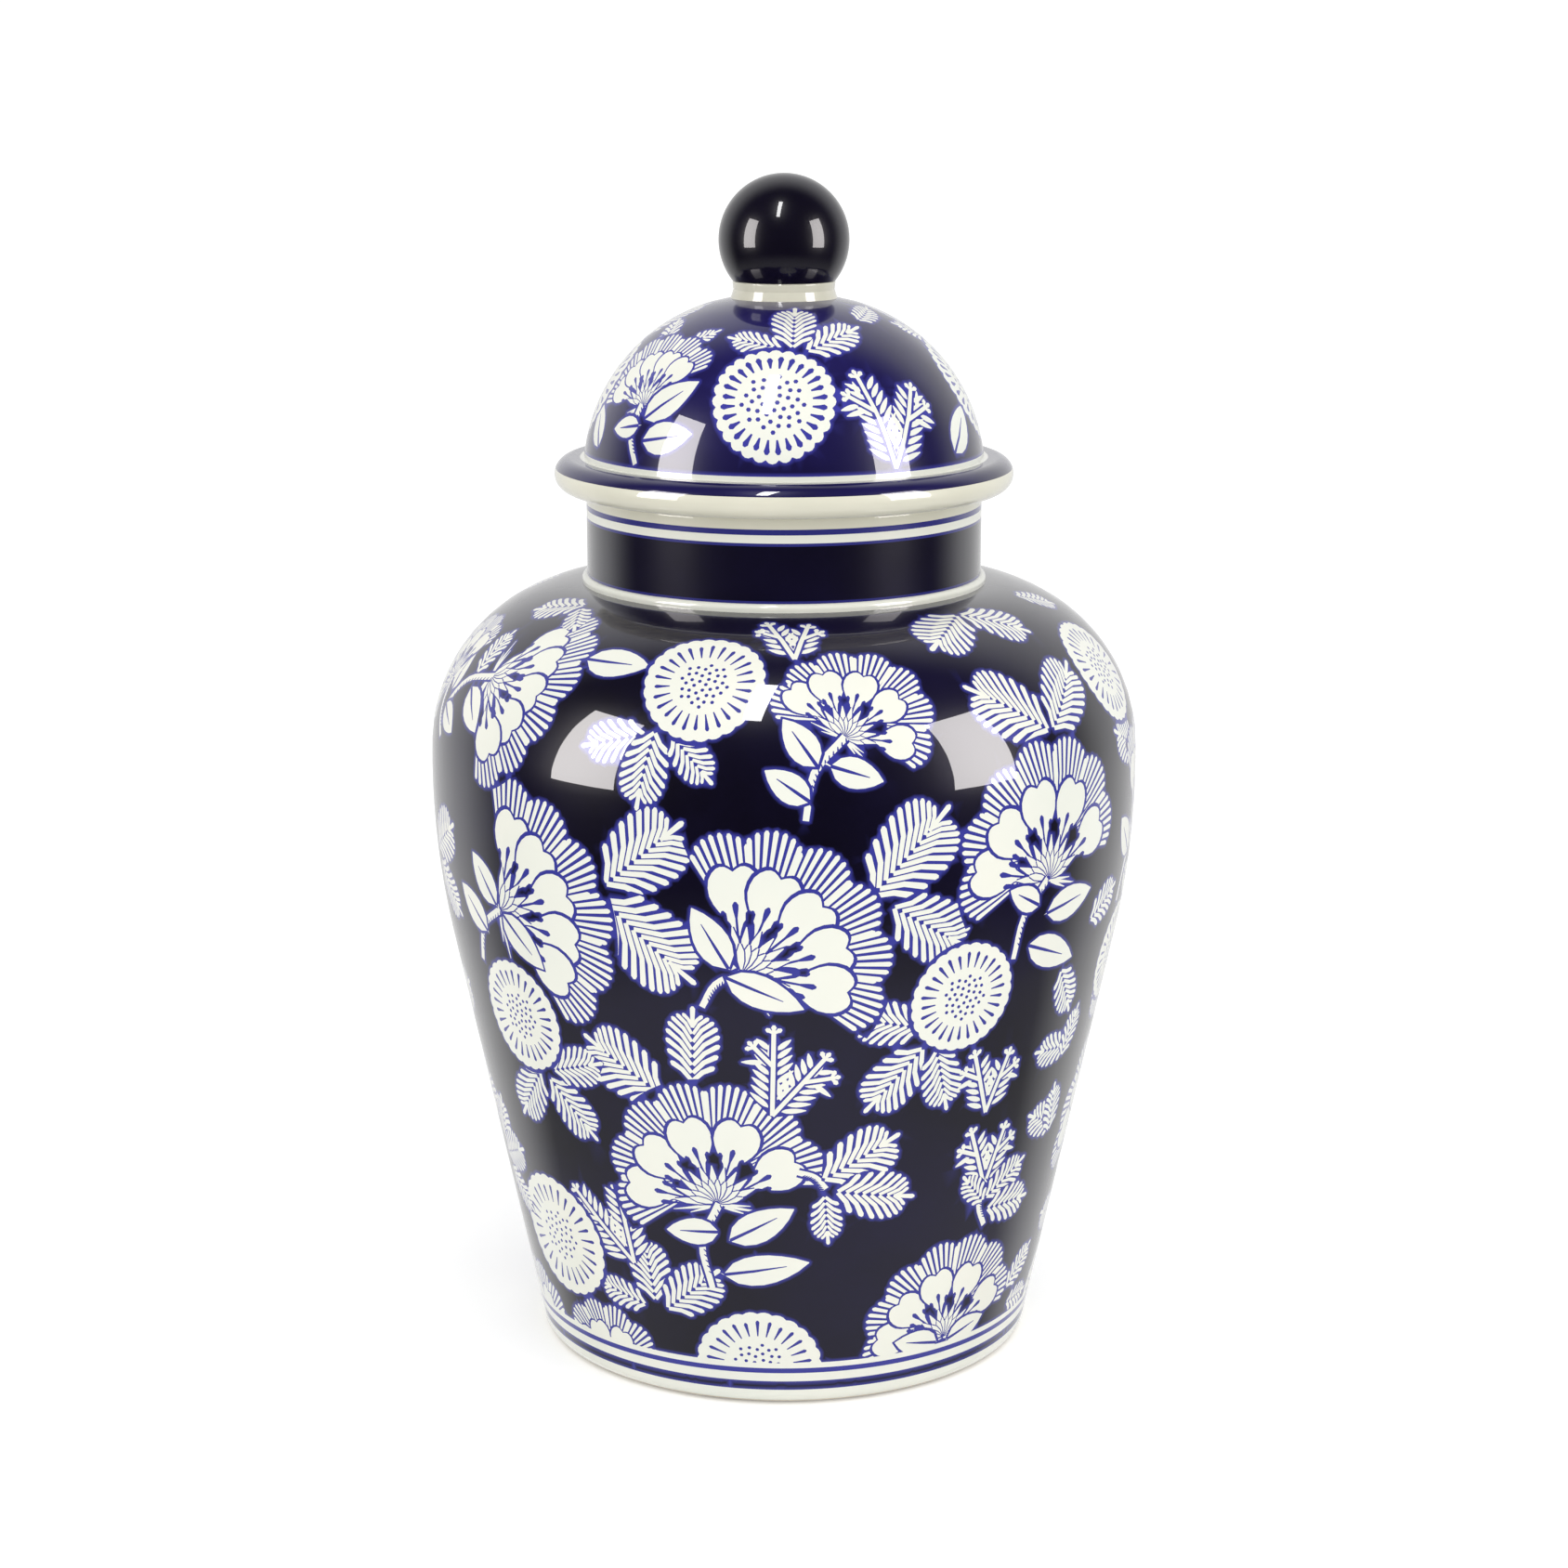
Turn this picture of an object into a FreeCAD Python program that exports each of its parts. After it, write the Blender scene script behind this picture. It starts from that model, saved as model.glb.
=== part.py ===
# Ginger jar: a porcelain jar on a foot ring, with a loose domed lid that has a ball knob.
#
# The model is in millimetres. +Z is up along the jar's axis, and the origin is the centre of the
# foot ring's underside. Every piece is a solid of revolution: a half section is sketched on the
# XZ plane and turned about Z. The sheet called Sizes drives every sketch. Its first rows are the
# sizes that can be set, and the rows after them are worked out from those.
import FreeCAD, Part
import math
import os
import re

import Sketcher

SIZES = [
    # the jar
    ("belly_radius", 100.0, "largest radius of the jar"),
    ("belly_height", 167.0, "height of the largest radius"),
    ("belly_arc", 229.0, "radius of the wall's upright curve about the belly"),
    ("shoulder_arc", 46.5, "radius of the shoulder's curve"),
    ("shoulder_height", 219.7, "height of the top of the shoulder"),
    ("foot_radius", 71.0, "radius of the foot at its rounded edge"),
    ("foot_edge", 4.0, "radius of the foot's outer edge"),
    ("foot_ring_width", 10.0, "width of the foot ring"),
    ("foot_ring_round", 1.5, "rounding of the foot ring's inner edges"),
    ("foot_recess", 4.0, "depth of the recess under the floor"),
    ("floor_thick", 7.0, "thickness of the floor"),
    ("floor_round", 14.0, "radius inside, between floor and wall"),
    ("wall", 5.0, "thickness of the wall"),
    ("neck_radius", 55.4, "outer radius of the neck"),
    ("neck_rise", 25.5, "height of the neck above the shoulder"),
    ("neck_wall", 5.0, "thickness of the neck"),
    ("bead", 1.4, "radius of the bead round the foot of the neck"),
    ("lip_round", 1.2, "rounding of the lip's two edges"),
    # the lid
    ("flange_overhang", 8.8, "how far the lid's flange stands out past the neck"),
    ("flange_thick", 9.2, "thickness of the flange, whose edge is a half round"),
    ("dome_inset", 8.3, "from the flange's edge in to the foot of the dome"),
    ("dome_arc", 49.6, "radius of the dome's section"),
    ("dome_rise", 44.4, "crest of the dome above the flange"),
    ("lid_wall", 4.5, "thickness of the dome"),
    ("ring_clearance", 1.4, "radial gap between the locating ring and the neck's bore"),
    ("ring_wall", 4.0, "thickness of the locating ring"),
    ("ring_depth", 9.0, "how far the locating ring hangs into the neck"),
    ("ring_round", 1.0, "rounding of the locating ring's lower outer edge"),
    # the knob
    ("collar_foot_radius", 14.8, "radius of the knob's collar where it meets the dome"),
    ("collar_radius", 14.3, "radius of the collar under the ball"),
    ("collar_rise", 4.8, "height of the collar"),
    ("knob_radius", 18.1, "radius of the ball"),
]

DERIVED = [
    # the belly's circle, and the angle round it at which the straight lower wall leaves it
    ("belly_x", "belly_radius - belly_arc"),
    ("foot_x", "foot_radius - foot_edge"),
    ("wall_reach", "hypot(foot_x - belly_x; foot_edge - belly_height)"),
    ("wall_bearing", "atan2(foot_edge - belly_height; foot_x - belly_x)"),
    ("wall_angle", "wall_bearing + acos((belly_arc - foot_edge) / wall_reach)"),
    # the shoulder's circle, which touches the belly's circle from inside at the joint angle
    ("shoulder_z", "shoulder_height - shoulder_arc"),
    ("shoulder_step", "belly_arc - shoulder_arc"),
    ("shoulder_x", "belly_x + sqrt(shoulder_step ^ 2 - (shoulder_z - belly_height) ^ 2)"),
    ("joint_angle", "atan2(shoulder_z - belly_height; shoulder_x - belly_x)"),
    # the neck
    ("bead_radius", "neck_radius + bead"),
    ("bead_z", "shoulder_z + sqrt(shoulder_arc ^ 2 - (bead_radius - shoulder_x) ^ 2)"),
    ("neck_top", "shoulder_height + neck_rise"),
    ("bore_radius", "neck_radius - neck_wall"),
    ("bore_z", "shoulder_z + sqrt((shoulder_arc - wall) ^ 2 - (bore_radius - shoulder_x) ^ 2)"),
    # the foot ring and the inside of the floor
    ("foot_inner", "foot_radius - foot_ring_width"),
    ("floor_z", "foot_recess + floor_thick"),
    ("inner_arc", "belly_arc - wall"),
    ("inner_x", "belly_x + inner_arc * cos(wall_angle)"),
    ("inner_z", "belly_height + inner_arc * sin(wall_angle)"),
    ("floor_round_z", "floor_z + floor_round"),
    ("floor_round_x",
     "inner_x + (inner_z - floor_round_z) * tan(wall_angle) - floor_round / cos(wall_angle)"),
    # the lid, which rests on the lip
    ("flange_radius", "neck_radius + flange_overhang"),
    ("flange_round", "flange_thick / 2"),
    ("flange_top", "neck_top + flange_thick"),
    ("dome_foot", "flange_radius - dome_inset"),
    ("dome_z", "flange_top + dome_rise - dome_arc"),
    ("dome_x", "dome_foot - sqrt(dome_arc ^ 2 - (flange_top - dome_z) ^ 2)"),
    ("seat_z", "dome_z + sqrt(dome_arc ^ 2 - (collar_foot_radius - dome_x) ^ 2)"),
    ("hollow_arc", "dome_arc - lid_wall"),
    ("hollow_foot", "dome_x + sqrt(hollow_arc ^ 2 - (flange_top - dome_z) ^ 2)"),
    ("hollow_top", "seat_z - lid_wall"),
    ("hollow_x", "dome_x + sqrt(hollow_arc ^ 2 - (hollow_top - dome_z) ^ 2)"),
    ("ring_radius", "bore_radius - ring_clearance"),
    ("ring_inner", "ring_radius - ring_wall"),
    ("ring_low", "neck_top - ring_depth"),
    # the knob, whose ball is cut flat where it sits on the collar
    ("collar_top", "seat_z + collar_rise"),
    ("knob_z", "collar_top + sqrt(knob_radius ^ 2 - collar_radius ^ 2)"),
]

# Each corner of a half section is (x, z, radius, turn): expressions of its place and, where the
# edge that leaves it is an arc, that arc's radius and its turn, seen with +X right and +Z up:
# 1 is anticlockwise and -1 is clockwise. A straight edge leaves a corner that has no radius.
JAR_SECTION = [
    ("0", "foot_recess"),
    ("foot_inner - foot_ring_round", "foot_recess", "foot_ring_round", -1),
    ("foot_inner", "foot_recess - foot_ring_round"),
    ("foot_inner", "foot_ring_round", "foot_ring_round", 1),
    ("foot_inner + foot_ring_round", "0"),
    ("foot_x", "0", "foot_edge", 1),
    ("foot_x + foot_edge * cos(wall_angle)", "foot_edge * (1 + sin(wall_angle))"),
    ("belly_x + belly_arc * cos(wall_angle)", "belly_height + belly_arc * sin(wall_angle)",
     "belly_arc", 1),
    ("belly_x + belly_arc * cos(joint_angle)", "belly_height + belly_arc * sin(joint_angle)",
     "shoulder_arc", 1),
    ("bead_radius", "bead_z"),
    ("bead_radius", "shoulder_height + bead / 2", "bead", 1),
    ("neck_radius", "shoulder_height + bead * 1.5"),
    ("neck_radius", "neck_top - lip_round", "lip_round", 1),
    ("neck_radius - lip_round", "neck_top"),
    ("bore_radius + lip_round", "neck_top", "lip_round", 1),
    ("bore_radius", "neck_top - lip_round"),
    ("bore_radius", "bore_z", "shoulder_arc - wall", -1),
    ("belly_x + inner_arc * cos(joint_angle)", "belly_height + inner_arc * sin(joint_angle)",
     "inner_arc", -1),
    ("inner_x", "inner_z"),
    ("floor_round_x + floor_round * cos(wall_angle)",
     "floor_round_z + floor_round * sin(wall_angle)", "floor_round", -1),
    ("floor_round_x", "floor_z"),
    ("0", "floor_z"),
]

LID_SECTION = [
    ("0", "hollow_top"),
    ("hollow_x", "hollow_top", "hollow_arc", -1),
    ("hollow_foot", "flange_top"),
    ("ring_inner", "neck_top"),
    ("ring_inner", "ring_low"),
    ("ring_radius - ring_round", "ring_low", "ring_round", 1),
    ("ring_radius", "ring_low + ring_round"),
    ("ring_radius", "neck_top"),
    ("flange_radius - flange_round", "neck_top", "flange_round", 1),
    ("flange_radius", "neck_top + flange_round", "flange_round", 1),
    ("flange_radius - flange_round", "flange_top"),
    ("dome_foot", "flange_top", "dome_arc", 1),
    ("collar_foot_radius", "seat_z"),
    ("0", "seat_z"),
]

COLLAR_SECTION = [
    ("0", "seat_z"),
    ("collar_foot_radius", "seat_z"),
    ("collar_radius", "collar_top"),
    ("0", "collar_top"),
]

KNOB_SECTION = [
    ("0", "collar_top"),
    ("collar_radius", "collar_top", "knob_radius", 1),
    ("knob_radius", "knob_z", "knob_radius", 1),
    ("0", "knob_z + knob_radius"),
]

PIECES = [
    ("jar_body", JAR_SECTION),
    ("lid_shell", LID_SECTION),
    ("knob_collar", COLLAR_SECTION),
    ("lid_knob", KNOB_SECTION),
]

HOME = (-1, 1)  # the sketch's own origin point
UPRIGHT = -2  # the sketch's vertical axis


def make_sheet(doc):
    """Write the driving sizes and the sizes worked out from them into a sheet."""
    sheet = doc.addObject("Spreadsheet::Sheet", "Sizes")
    row = 1
    for alias, value, note in SIZES:
        sheet.set(f"A{row}", note)
        sheet.set(f"B{row}", str(value))
        sheet.setAlias(f"B{row}", alias)
        row += 1
    for alias, formula in DERIVED:
        sheet.set(f"A{row}", "worked out")
        sheet.set(f"B{row}", "=" + formula)
        sheet.setAlias(f"B{row}", alias)
        row += 1
    doc.recompute()
    return sheet


def bind(expression):
    """Return an expression that reads the sheet's sizes from another object."""
    names = {alias for alias, *_ in SIZES + DERIVED}
    return re.sub(r"[a-z_]+", lambda word: ("Sizes." if word[0] in names else "") + word[0], expression)


def arc_centre(start, end, radius, turn):
    """Return the centre of the short arc of this radius that turns from start to end."""
    chord = end - start
    lift = math.sqrt(max(radius ** 2 - (chord.Length / 2) ** 2, 0.0))
    left = FreeCAD.Vector(-chord.y, chord.x, 0).normalize()
    return start + chord * 0.5 + left * (lift * turn)


def add_edge(sketch, start, end, radius, turn):
    """Add one edge, and return its index and the positions of its two ends."""
    if radius is None:
        return sketch.addGeometry(Part.LineSegment(start, end), False), 1, 2
    centre = arc_centre(start, end, radius, turn)
    circle = Part.Circle(centre, FreeCAD.Vector(0, 0, 1), radius)
    first, last = (start, end) if turn > 0 else (end, start)
    angles = [math.atan2(p.y - centre.y, p.x - centre.x) for p in (first, last)]
    if angles[1] < angles[0]:
        angles[1] += 2 * math.pi
    index = sketch.addGeometry(Part.ArcOfCircle(circle, *angles), False)
    return (index, 1, 2) if turn > 0 else (index, 2, 1)


def hold(sketch, kind, place, expression, value):
    """Add a dimension to a sketch and bind it to an expression of the sheet."""
    index = sketch.addConstraint(Sketcher.Constraint(kind, *place, value))
    sketch.setExpression(f"Constraints[{index}]", bind(expression))


def make_section(body, name, corners):
    """Sketch a closed half section on the body's XZ plane, with every corner dimensioned."""
    sketch = body.newObject("Sketcher::SketchObject", name)
    plane = next(f for f in body.Origin.OriginFeatures if f.Role == "XZ_Plane")
    sketch.AttachmentSupport = [(plane, "")]
    sketch.MapMode = "FlatFace"
    sizes = body.Document.getObject("Sizes")

    def read(expression):
        result = sizes.evalExpression(expression)
        return float(getattr(result, "Value", result))

    points = [FreeCAD.Vector(read(x), read(z), 0) for x, z, *_ in corners]
    edges = []
    for number, (_, _, *arc) in enumerate(corners):
        end = points[(number + 1) % len(points)]
        radius = read(arc[0]) if arc else None
        edges.append(add_edge(sketch, points[number], end, radius, arc[1] if arc else 0))
    for number, (x, z, *arc) in enumerate(corners):
        index, start, _ = edges[number]
        before, _, before_end = edges[number - 1]
        sketch.addConstraint(Sketcher.Constraint("Coincident", before, before_end, index, start))
        if x == "0":
            sketch.addConstraint(Sketcher.Constraint("PointOnObject", index, start, UPRIGHT))
        else:
            hold(sketch, "DistanceX", (*HOME, index, start), x, points[number].x)
        hold(sketch, "DistanceY", (*HOME, index, start), z, points[number].y)
        if arc:
            hold(sketch, "Radius", (index,), arc[0], read(arc[0]))
    return sketch


def make_turned(doc, label, corners):
    """Make one turned piece: a half section and its full revolution about Z."""
    body = doc.addObject("PartDesign::Body", label)
    body.Label = label
    body.Placement = FreeCAD.Placement()
    sketch = make_section(body, label + "_section", corners)
    turned = body.newObject("PartDesign::Revolution", label + "_turned")
    turned.Profile = sketch
    turned.ReferenceAxis = (sketch, ["V_Axis"])
    turned.Angle = 360.0
    return body


def check(doc, bodies):
    """Stop if any object failed to recompute or any piece is not one good solid."""
    for item in doc.Objects:
        if {"Invalid", "Error"} & set(item.State):
            raise RuntimeError(f"{item.Label} failed: {item.State}")
    for body in bodies:
        shape = body.Shape
        if shape.isNull() or not shape.isValid() or len(shape.Solids) != 1:
            raise RuntimeError(f"{body.Label} is not one valid solid")


doc = FreeCAD.newDocument("GingerJar")
make_sheet(doc)
bodies = [make_turned(doc, label, corners) for label, corners in PIECES]
doc.recompute()
check(doc, bodies)
os.makedirs("parts", exist_ok=True)
for body in bodies:
    body.Shape.exportStep(f"parts/{body.Label}.step")
    box = body.Shape.BoundBox
    print(f"{body.Label}: {box.XLength:.1f} x {box.YLength:.1f} x {box.ZLength:.1f} mm, "
          f"{body.Shape.Volume / 1000:.1f} cm3, z {box.ZMin:.1f} to {box.ZMax:.1f}")
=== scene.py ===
"""Blue and white ginger jar: a glazed body, a loose domed lid, its collar and its ball knob."""

import cmath
import logging
import math
from dataclasses import dataclass
from enum import Enum
from typing import Callable, Sequence

import bpy
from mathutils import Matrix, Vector, kdtree
from mathutils.geometry import delaunay_2d_cdt


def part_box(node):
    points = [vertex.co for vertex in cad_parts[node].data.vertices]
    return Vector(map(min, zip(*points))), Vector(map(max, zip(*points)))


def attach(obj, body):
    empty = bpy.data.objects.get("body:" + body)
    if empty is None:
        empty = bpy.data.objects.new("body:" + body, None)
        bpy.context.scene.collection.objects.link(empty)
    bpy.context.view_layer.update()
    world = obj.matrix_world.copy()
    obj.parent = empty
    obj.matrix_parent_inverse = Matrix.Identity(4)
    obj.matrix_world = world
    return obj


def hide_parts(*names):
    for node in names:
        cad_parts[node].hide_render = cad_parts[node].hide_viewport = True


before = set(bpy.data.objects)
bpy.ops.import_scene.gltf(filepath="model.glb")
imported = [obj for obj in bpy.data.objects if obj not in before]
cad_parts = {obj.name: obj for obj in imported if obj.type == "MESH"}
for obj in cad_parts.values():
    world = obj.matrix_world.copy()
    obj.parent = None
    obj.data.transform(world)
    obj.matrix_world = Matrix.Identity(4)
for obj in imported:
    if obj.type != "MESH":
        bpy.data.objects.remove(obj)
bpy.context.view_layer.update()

log = logging.getLogger("ginger_jar")

MM = 0.001
UP = 1j


class Ink(Enum):
    """What the brush left on the clay, in the order of a piece's material slots."""

    COBALT = 0
    WHITE = 1
    BISCUIT = 2
    # A creamy white that is also darkened as painted shade, used for the surfaces under the lid's flange
    # and under the ball knob.
    CREAM_SHADED = 3


class Motif(Enum):
    """The flowers and leaves that the painter knows."""

    PEONY = "upright peony"
    OPEN_PEONY = "open peony"
    BUD_LEAF = "solid leaf"
    FEATHER = "feather leaf"
    STEM = "stem"
    CORAL = "coral sprig"


Outline = list[complex]
Patch = tuple[Ink, Outline]
Spot = tuple[float, float]


# ---------------------------------------------------------------- turned sections


@dataclass(frozen=True)
class Run:
    """A straight or round stretch of a turned section, in millimetres, with the clay to its left."""

    ink: Ink
    start: complex
    end: complex
    centre: complex | None = None
    sweep: float = 0.0
    wash: float = 0.0

    @staticmethod
    def arc(ink: Ink, centre: complex, radius: float, first: float, last: float) -> "Run":
        """A round stretch.

        Args:
            ink: Its colour.
            centre: The arc's centre.
            radius: The arc's radius.
            first: Angle at which it starts, in radians.
            last: Angle at which it ends, in radians.

        Returns:
            The run.
        """
        ends = [centre + cmath.rect(radius, angle) for angle in (first, last)]
        return Run(ink, ends[0], ends[1], centre, last - first)

    @property
    def length(self) -> float:
        """The run's length.

        Returns:
            Millimetres along it.
        """
        if self.centre is None:
            return abs(self.end - self.start)
        return abs(self.start - self.centre) * abs(self.sweep)

    def at(self, part: float) -> tuple[complex, complex]:
        """A place on the run.

        Args:
            part: How far along, from 0 to 1.

        Returns:
            The point and the outward normal.
        """
        if self.centre is None:
            along = self.end - self.start
            return self.start + along * part, -1j * along / abs(along)
        spoke = (self.start - self.centre) * cmath.rect(1.0, self.sweep * part)
        return self.centre + spoke, spoke / abs(spoke) * math.copysign(1.0, self.sweep)

    def rows(self, step: float = math.radians(9.0)) -> list[tuple[complex, complex]]:
        """Points and normals from end to end.

        Args:
            step: Largest turn between two rows of a round stretch.

        Returns:
            One point and normal for each row.
        """
        count = 1 if self.centre is None else max(2, math.ceil(abs(self.sweep) / step))
        return [self.at(i / count) for i in range(count + 1)]


def polyline(ink: Ink, *points: complex) -> list[Run]:
    """Straight runs through some points.

    Args:
        ink: Their colour.
        points: The corners in order.

    Returns:
        The runs.
    """
    return [Run(ink, a, b) for a, b in zip(points, points[1:])]


def stripes(start: complex, end: complex, *bands: tuple[float, Ink, float]) -> list[Run]:
    """Cuts a straight wall into painted bands.

    Args:
        start: Where the wall starts.
        end: Where it ends.
        bands: Each band's end as a height, its colour and how washed out its blue is.

    Returns:
        The runs, the last of them ending at the wall's end.
    """
    runs, low = [], start
    for height, ink, wash in bands:
        high = start + (end - start) * (height - start.imag) / (end.imag - start.imag)
        runs.append(Run(ink, low, high, wash=wash))
        low = high
    return runs


class Wall:
    """A decorated wall: runs laid end to end, measured along their length."""

    def __init__(self, runs: Sequence[Run]) -> None:
        """Keeps the runs and adds up their lengths."""
        self.runs = list(runs)
        self.length = sum(run.length for run in self.runs)

    def at(self, distance: float) -> tuple[complex, complex]:
        """A place on the wall.

        Args:
            distance: Millimetres up the wall from its lower end.

        Returns:
            The point and the outward normal.
        """
        for run in self.runs:
            if distance <= run.length or run is self.runs[-1]:
                return run.at(min(max(distance / run.length, 0.0), 1.0))
            distance -= run.length
        raise ValueError("a wall has at least one run")

    def radius(self, distance: float) -> float:
        """The wall's distance from the jar's axis."""
        return self.at(distance)[0].real


# ---------------------------------------------------------------- brush strokes


def circle(centre: complex, radius: float, count: int, turn: float = 0.0) -> Outline:
    """A ring of points.

    Args:
        centre: Its centre.
        radius: Its radius.
        count: How many points.
        turn: Angle of the first one, in radians.

    Returns:
        The outline.
    """
    return [centre + cmath.rect(radius, turn + math.tau * i / count) for i in range(count)]


def smooth(points: Sequence[complex], cuts: int = 2) -> Outline:
    """A soft curve through a few points.

    Args:
        points: The points it passes.
        cuts: How many steps each stretch is cut into.

    Returns:
        Points along the curve.
    """
    padded = [2 * points[0] - points[1], *points, 2 * points[-1] - points[-2]]
    curve: Outline = []
    for a, b, c, d in zip(padded, padded[1:], padded[2:], padded[3:]):
        for i in range(cuts):
            t = i / cuts
            bend = 2 * a - 5 * b + 4 * c - d
            swing = 3 * (b - c) + d - a
            curve.append(b + 0.5 * t * (c - a + t * (bend + t * swing)))
    return [*curve, points[-1]]


def stroke(path: Sequence[complex], halves: Sequence[float]) -> Outline:
    """A brush stroke of changing width.

    Args:
        path: Points along its middle.
        halves: Half its width at each of them.

    Returns:
        The outline.
    """
    left, right = [], []
    for i, (point, half) in enumerate(zip(path, halves)):
        along = path[min(i + 1, len(path) - 1)] - path[max(i - 1, 0)]
        side = 1j * along / abs(along) * half
        left.append(point + side)
        right.append(point - side)
    return right + left[::-1]


def strip(root: complex, tip: complex, half: float, foot: float = 0.4, bow: float = 0.0) -> Outline:
    """A short stroke that widens to a round tip.

    Args:
        root: Its narrow end.
        tip: Its round end.
        half: Half its width at the tip.
        foot: The root's width as a share of the tip's.
        bow: How far its middle swings to the left.

    Returns:
        The outline.
    """
    way = (tip - root) / abs(tip - root)
    middle = (root + tip) / 2 + 1j * way * bow
    cap = tip - way * half
    waist = half * (1 + foot) / 2
    return stroke([root, middle, cap, tip], [half * foot, waist, half, half * 0.4])


def leaf_edge(length: float, half: float, grow: float = 0.0, cuts: int = 7) -> Outline:
    """A pointed oval lying along the x axis from the origin.

    Args:
        length: Its length.
        half: Half its width.
        grow: How much to widen it all round.
        cuts: Points along each side.

    Returns:
        The outline.
    """
    parts = [i / cuts for i in range(cuts + 1)]
    path = [complex(-grow + (length + 2 * grow) * t, 0.0) for t in parts]
    halves = [(half + grow) * math.sin(math.pi * t**0.8) ** 0.8 + 0.12 for t in parts]
    return stroke(path, halves)


def leaf_at(root: complex, tip: complex, half: float) -> Outline:
    """A small pointed oval from one point to another.

    Args:
        root: Where it starts.
        tip: Where it ends.
        half: Half its width.

    Returns:
        The outline.
    """
    length = abs(tip - root)
    way = (tip - root) / length
    return [root + way * point for point in leaf_edge(length, half, cuts=5)]


def solid_leaf(length: float) -> list[Patch]:
    """A white leaf with a blue midrib.

    Args:
        length: Its length.

    Returns:
        The patches, from the origin along the x axis.
    """
    half, line = min(0.27 * length, 4.6), 0.9
    rib = stroke([complex(length * part, 0) for part in (0.0, 0.35, 0.74)], (0.5, 0.42, 0.12))
    return [
        (Ink.COBALT, leaf_edge(length, half, line)),
        (Ink.WHITE, leaf_edge(length, half)),
        (Ink.COBALT, rib),
    ]


def feather(length: float) -> list[Patch]:
    """A leaf of slanting strips either side of a bare midrib.

    Args:
        length: Its length.

    Returns:
        The patches, from the origin along the x axis.
    """
    plump = min(0.34, 0.18 + 0.0057 * length)
    half = plump * length
    pairs = round(1.7 * math.sqrt(length))
    spine = 0.82 * length
    gap = min(0.38, 0.16 * spine / pairs)
    root_lean, straighten = 50.0, 16.0
    patches: list[Patch] = [(Ink.COBALT, leaf_edge(length, half, 0.4))]
    for i in range(pairs):
        part = (i + 0.25) / pairs
        lean = math.radians(root_lean - straighten * part)
        reach = half * math.sin(math.pi * (0.28 + 0.67 * part)) / math.sin(lean)
        width = spine / pairs * math.sin(lean) / 2 - gap / 2
        for side in (1, -1):
            root = complex(spine * part, side * gap * 0.5)
            tip = root + cmath.rect(reach, side * lean)
            bow = -side * 0.07 * reach
            patches.append((Ink.WHITE, strip(root, tip, width * 1.12, 0.75, bow)))
    end_half = spine / pairs * 0.30
    patches.append((Ink.WHITE, strip(complex(0.88 * spine, 0), complex(length, 0), end_half, 0.7)))
    return patches


def stem(length: float, bow: float = 0.14) -> list[Patch]:
    """A flower's stem with short hatching on its shaded side.

    Args:
        length: Its length.
        bow: How far it swings aside, as a share of its length.

    Returns:
        The patches, from the origin along the x axis.
    """
    half, line, hatch, hatch_halves = 1.1, 0.7, 0.7 + 0.8j, (0.26, 0.14)
    path = smooth([0j, complex(0.5, bow) * length, complex(length, 0)], 4)
    widths = [half * (0.75 + 0.25 * i / len(path)) for i in range(len(path))]
    patches: list[Patch] = [
        (Ink.COBALT, stroke(path, [width + line for width in widths])),
        (Ink.WHITE, stroke(path, widths)),
    ]
    for a, b in zip(path[1:-1], path[2:]):
        way = (b - a) / abs(b - a)
        for part in (0.25, 0.75):
            spot = a + (b - a) * part - 1j * way * half
            patches.append((Ink.COBALT, stroke([spot, spot + way * hatch], hatch_halves)))
    return patches


def bud(tip: complex, turn: float, size: float = 1.0) -> list[Patch]:
    """Three small lobes at a twig's end.

    Args:
        tip: The twig's end.
        turn: The way it points, in radians.
        size: Scale.

    Returns:
        The patches.
    """
    lobes = (turn - 1.0, turn, turn + 1.0)
    return [(Ink.WHITE, strip(tip, tip + cmath.rect(2.5 * size, a), 0.75 * size, 0.4)) for a in lobes]


def coral(length: float) -> list[Patch]:
    """Two forked twigs with buds, and small leaflets beside them.

    Args:
        length: Its length.

    Returns:
        The patches, from the origin along the x axis.
    """
    patches: list[Patch] = [(Ink.COBALT, leaf_edge(length, 0.4 * length, 0.5))]
    leaflet, leaflet_half, leaflet_turn, pitch = 1.9 + 0.14 * length, 0.66, 0.85, 2.5
    lean, fork_turn, twig_half, line = math.radians(19.0), 0.75, 0.6, 0.55
    twigs: list[tuple[complex, complex]] = []
    for side, reach in ((1, 0.9), (-1, 0.8)):
        tip = cmath.rect(reach * length - 2.0, lean * side)
        fork = tip * 0.6
        branch = cmath.rect(0.3 * length - 1.5, (lean + fork_turn) * side)
        twigs += [(0j, tip), (fork, fork + branch)]
    for root, tip in twigs:
        way = (tip - root) / abs(tip - root)
        for i in range(1, int(abs(tip - root) / pitch)):
            for hand in (1, -1):
                start = root + way * (pitch * i + 0.95j * hand)
                size = leaflet * (1.15 - 0.45 * pitch * i / abs(tip - root))
                end = start + way * cmath.rect(size, hand * leaflet_turn)
                patches.append((Ink.WHITE, leaf_at(start, end, leaflet_half)))
    for root, tip in twigs:
        patches.append((Ink.COBALT, stroke([root, tip], (twig_half + line, twig_half + line))))
    for root, tip in twigs:
        halves = (twig_half, twig_half + 0.02, twig_half)
        patches.append((Ink.WHITE, stroke([root, (root + tip) / 2, tip], halves)))
        patches += bud(tip, cmath.phase(tip - root))
    return patches


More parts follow.
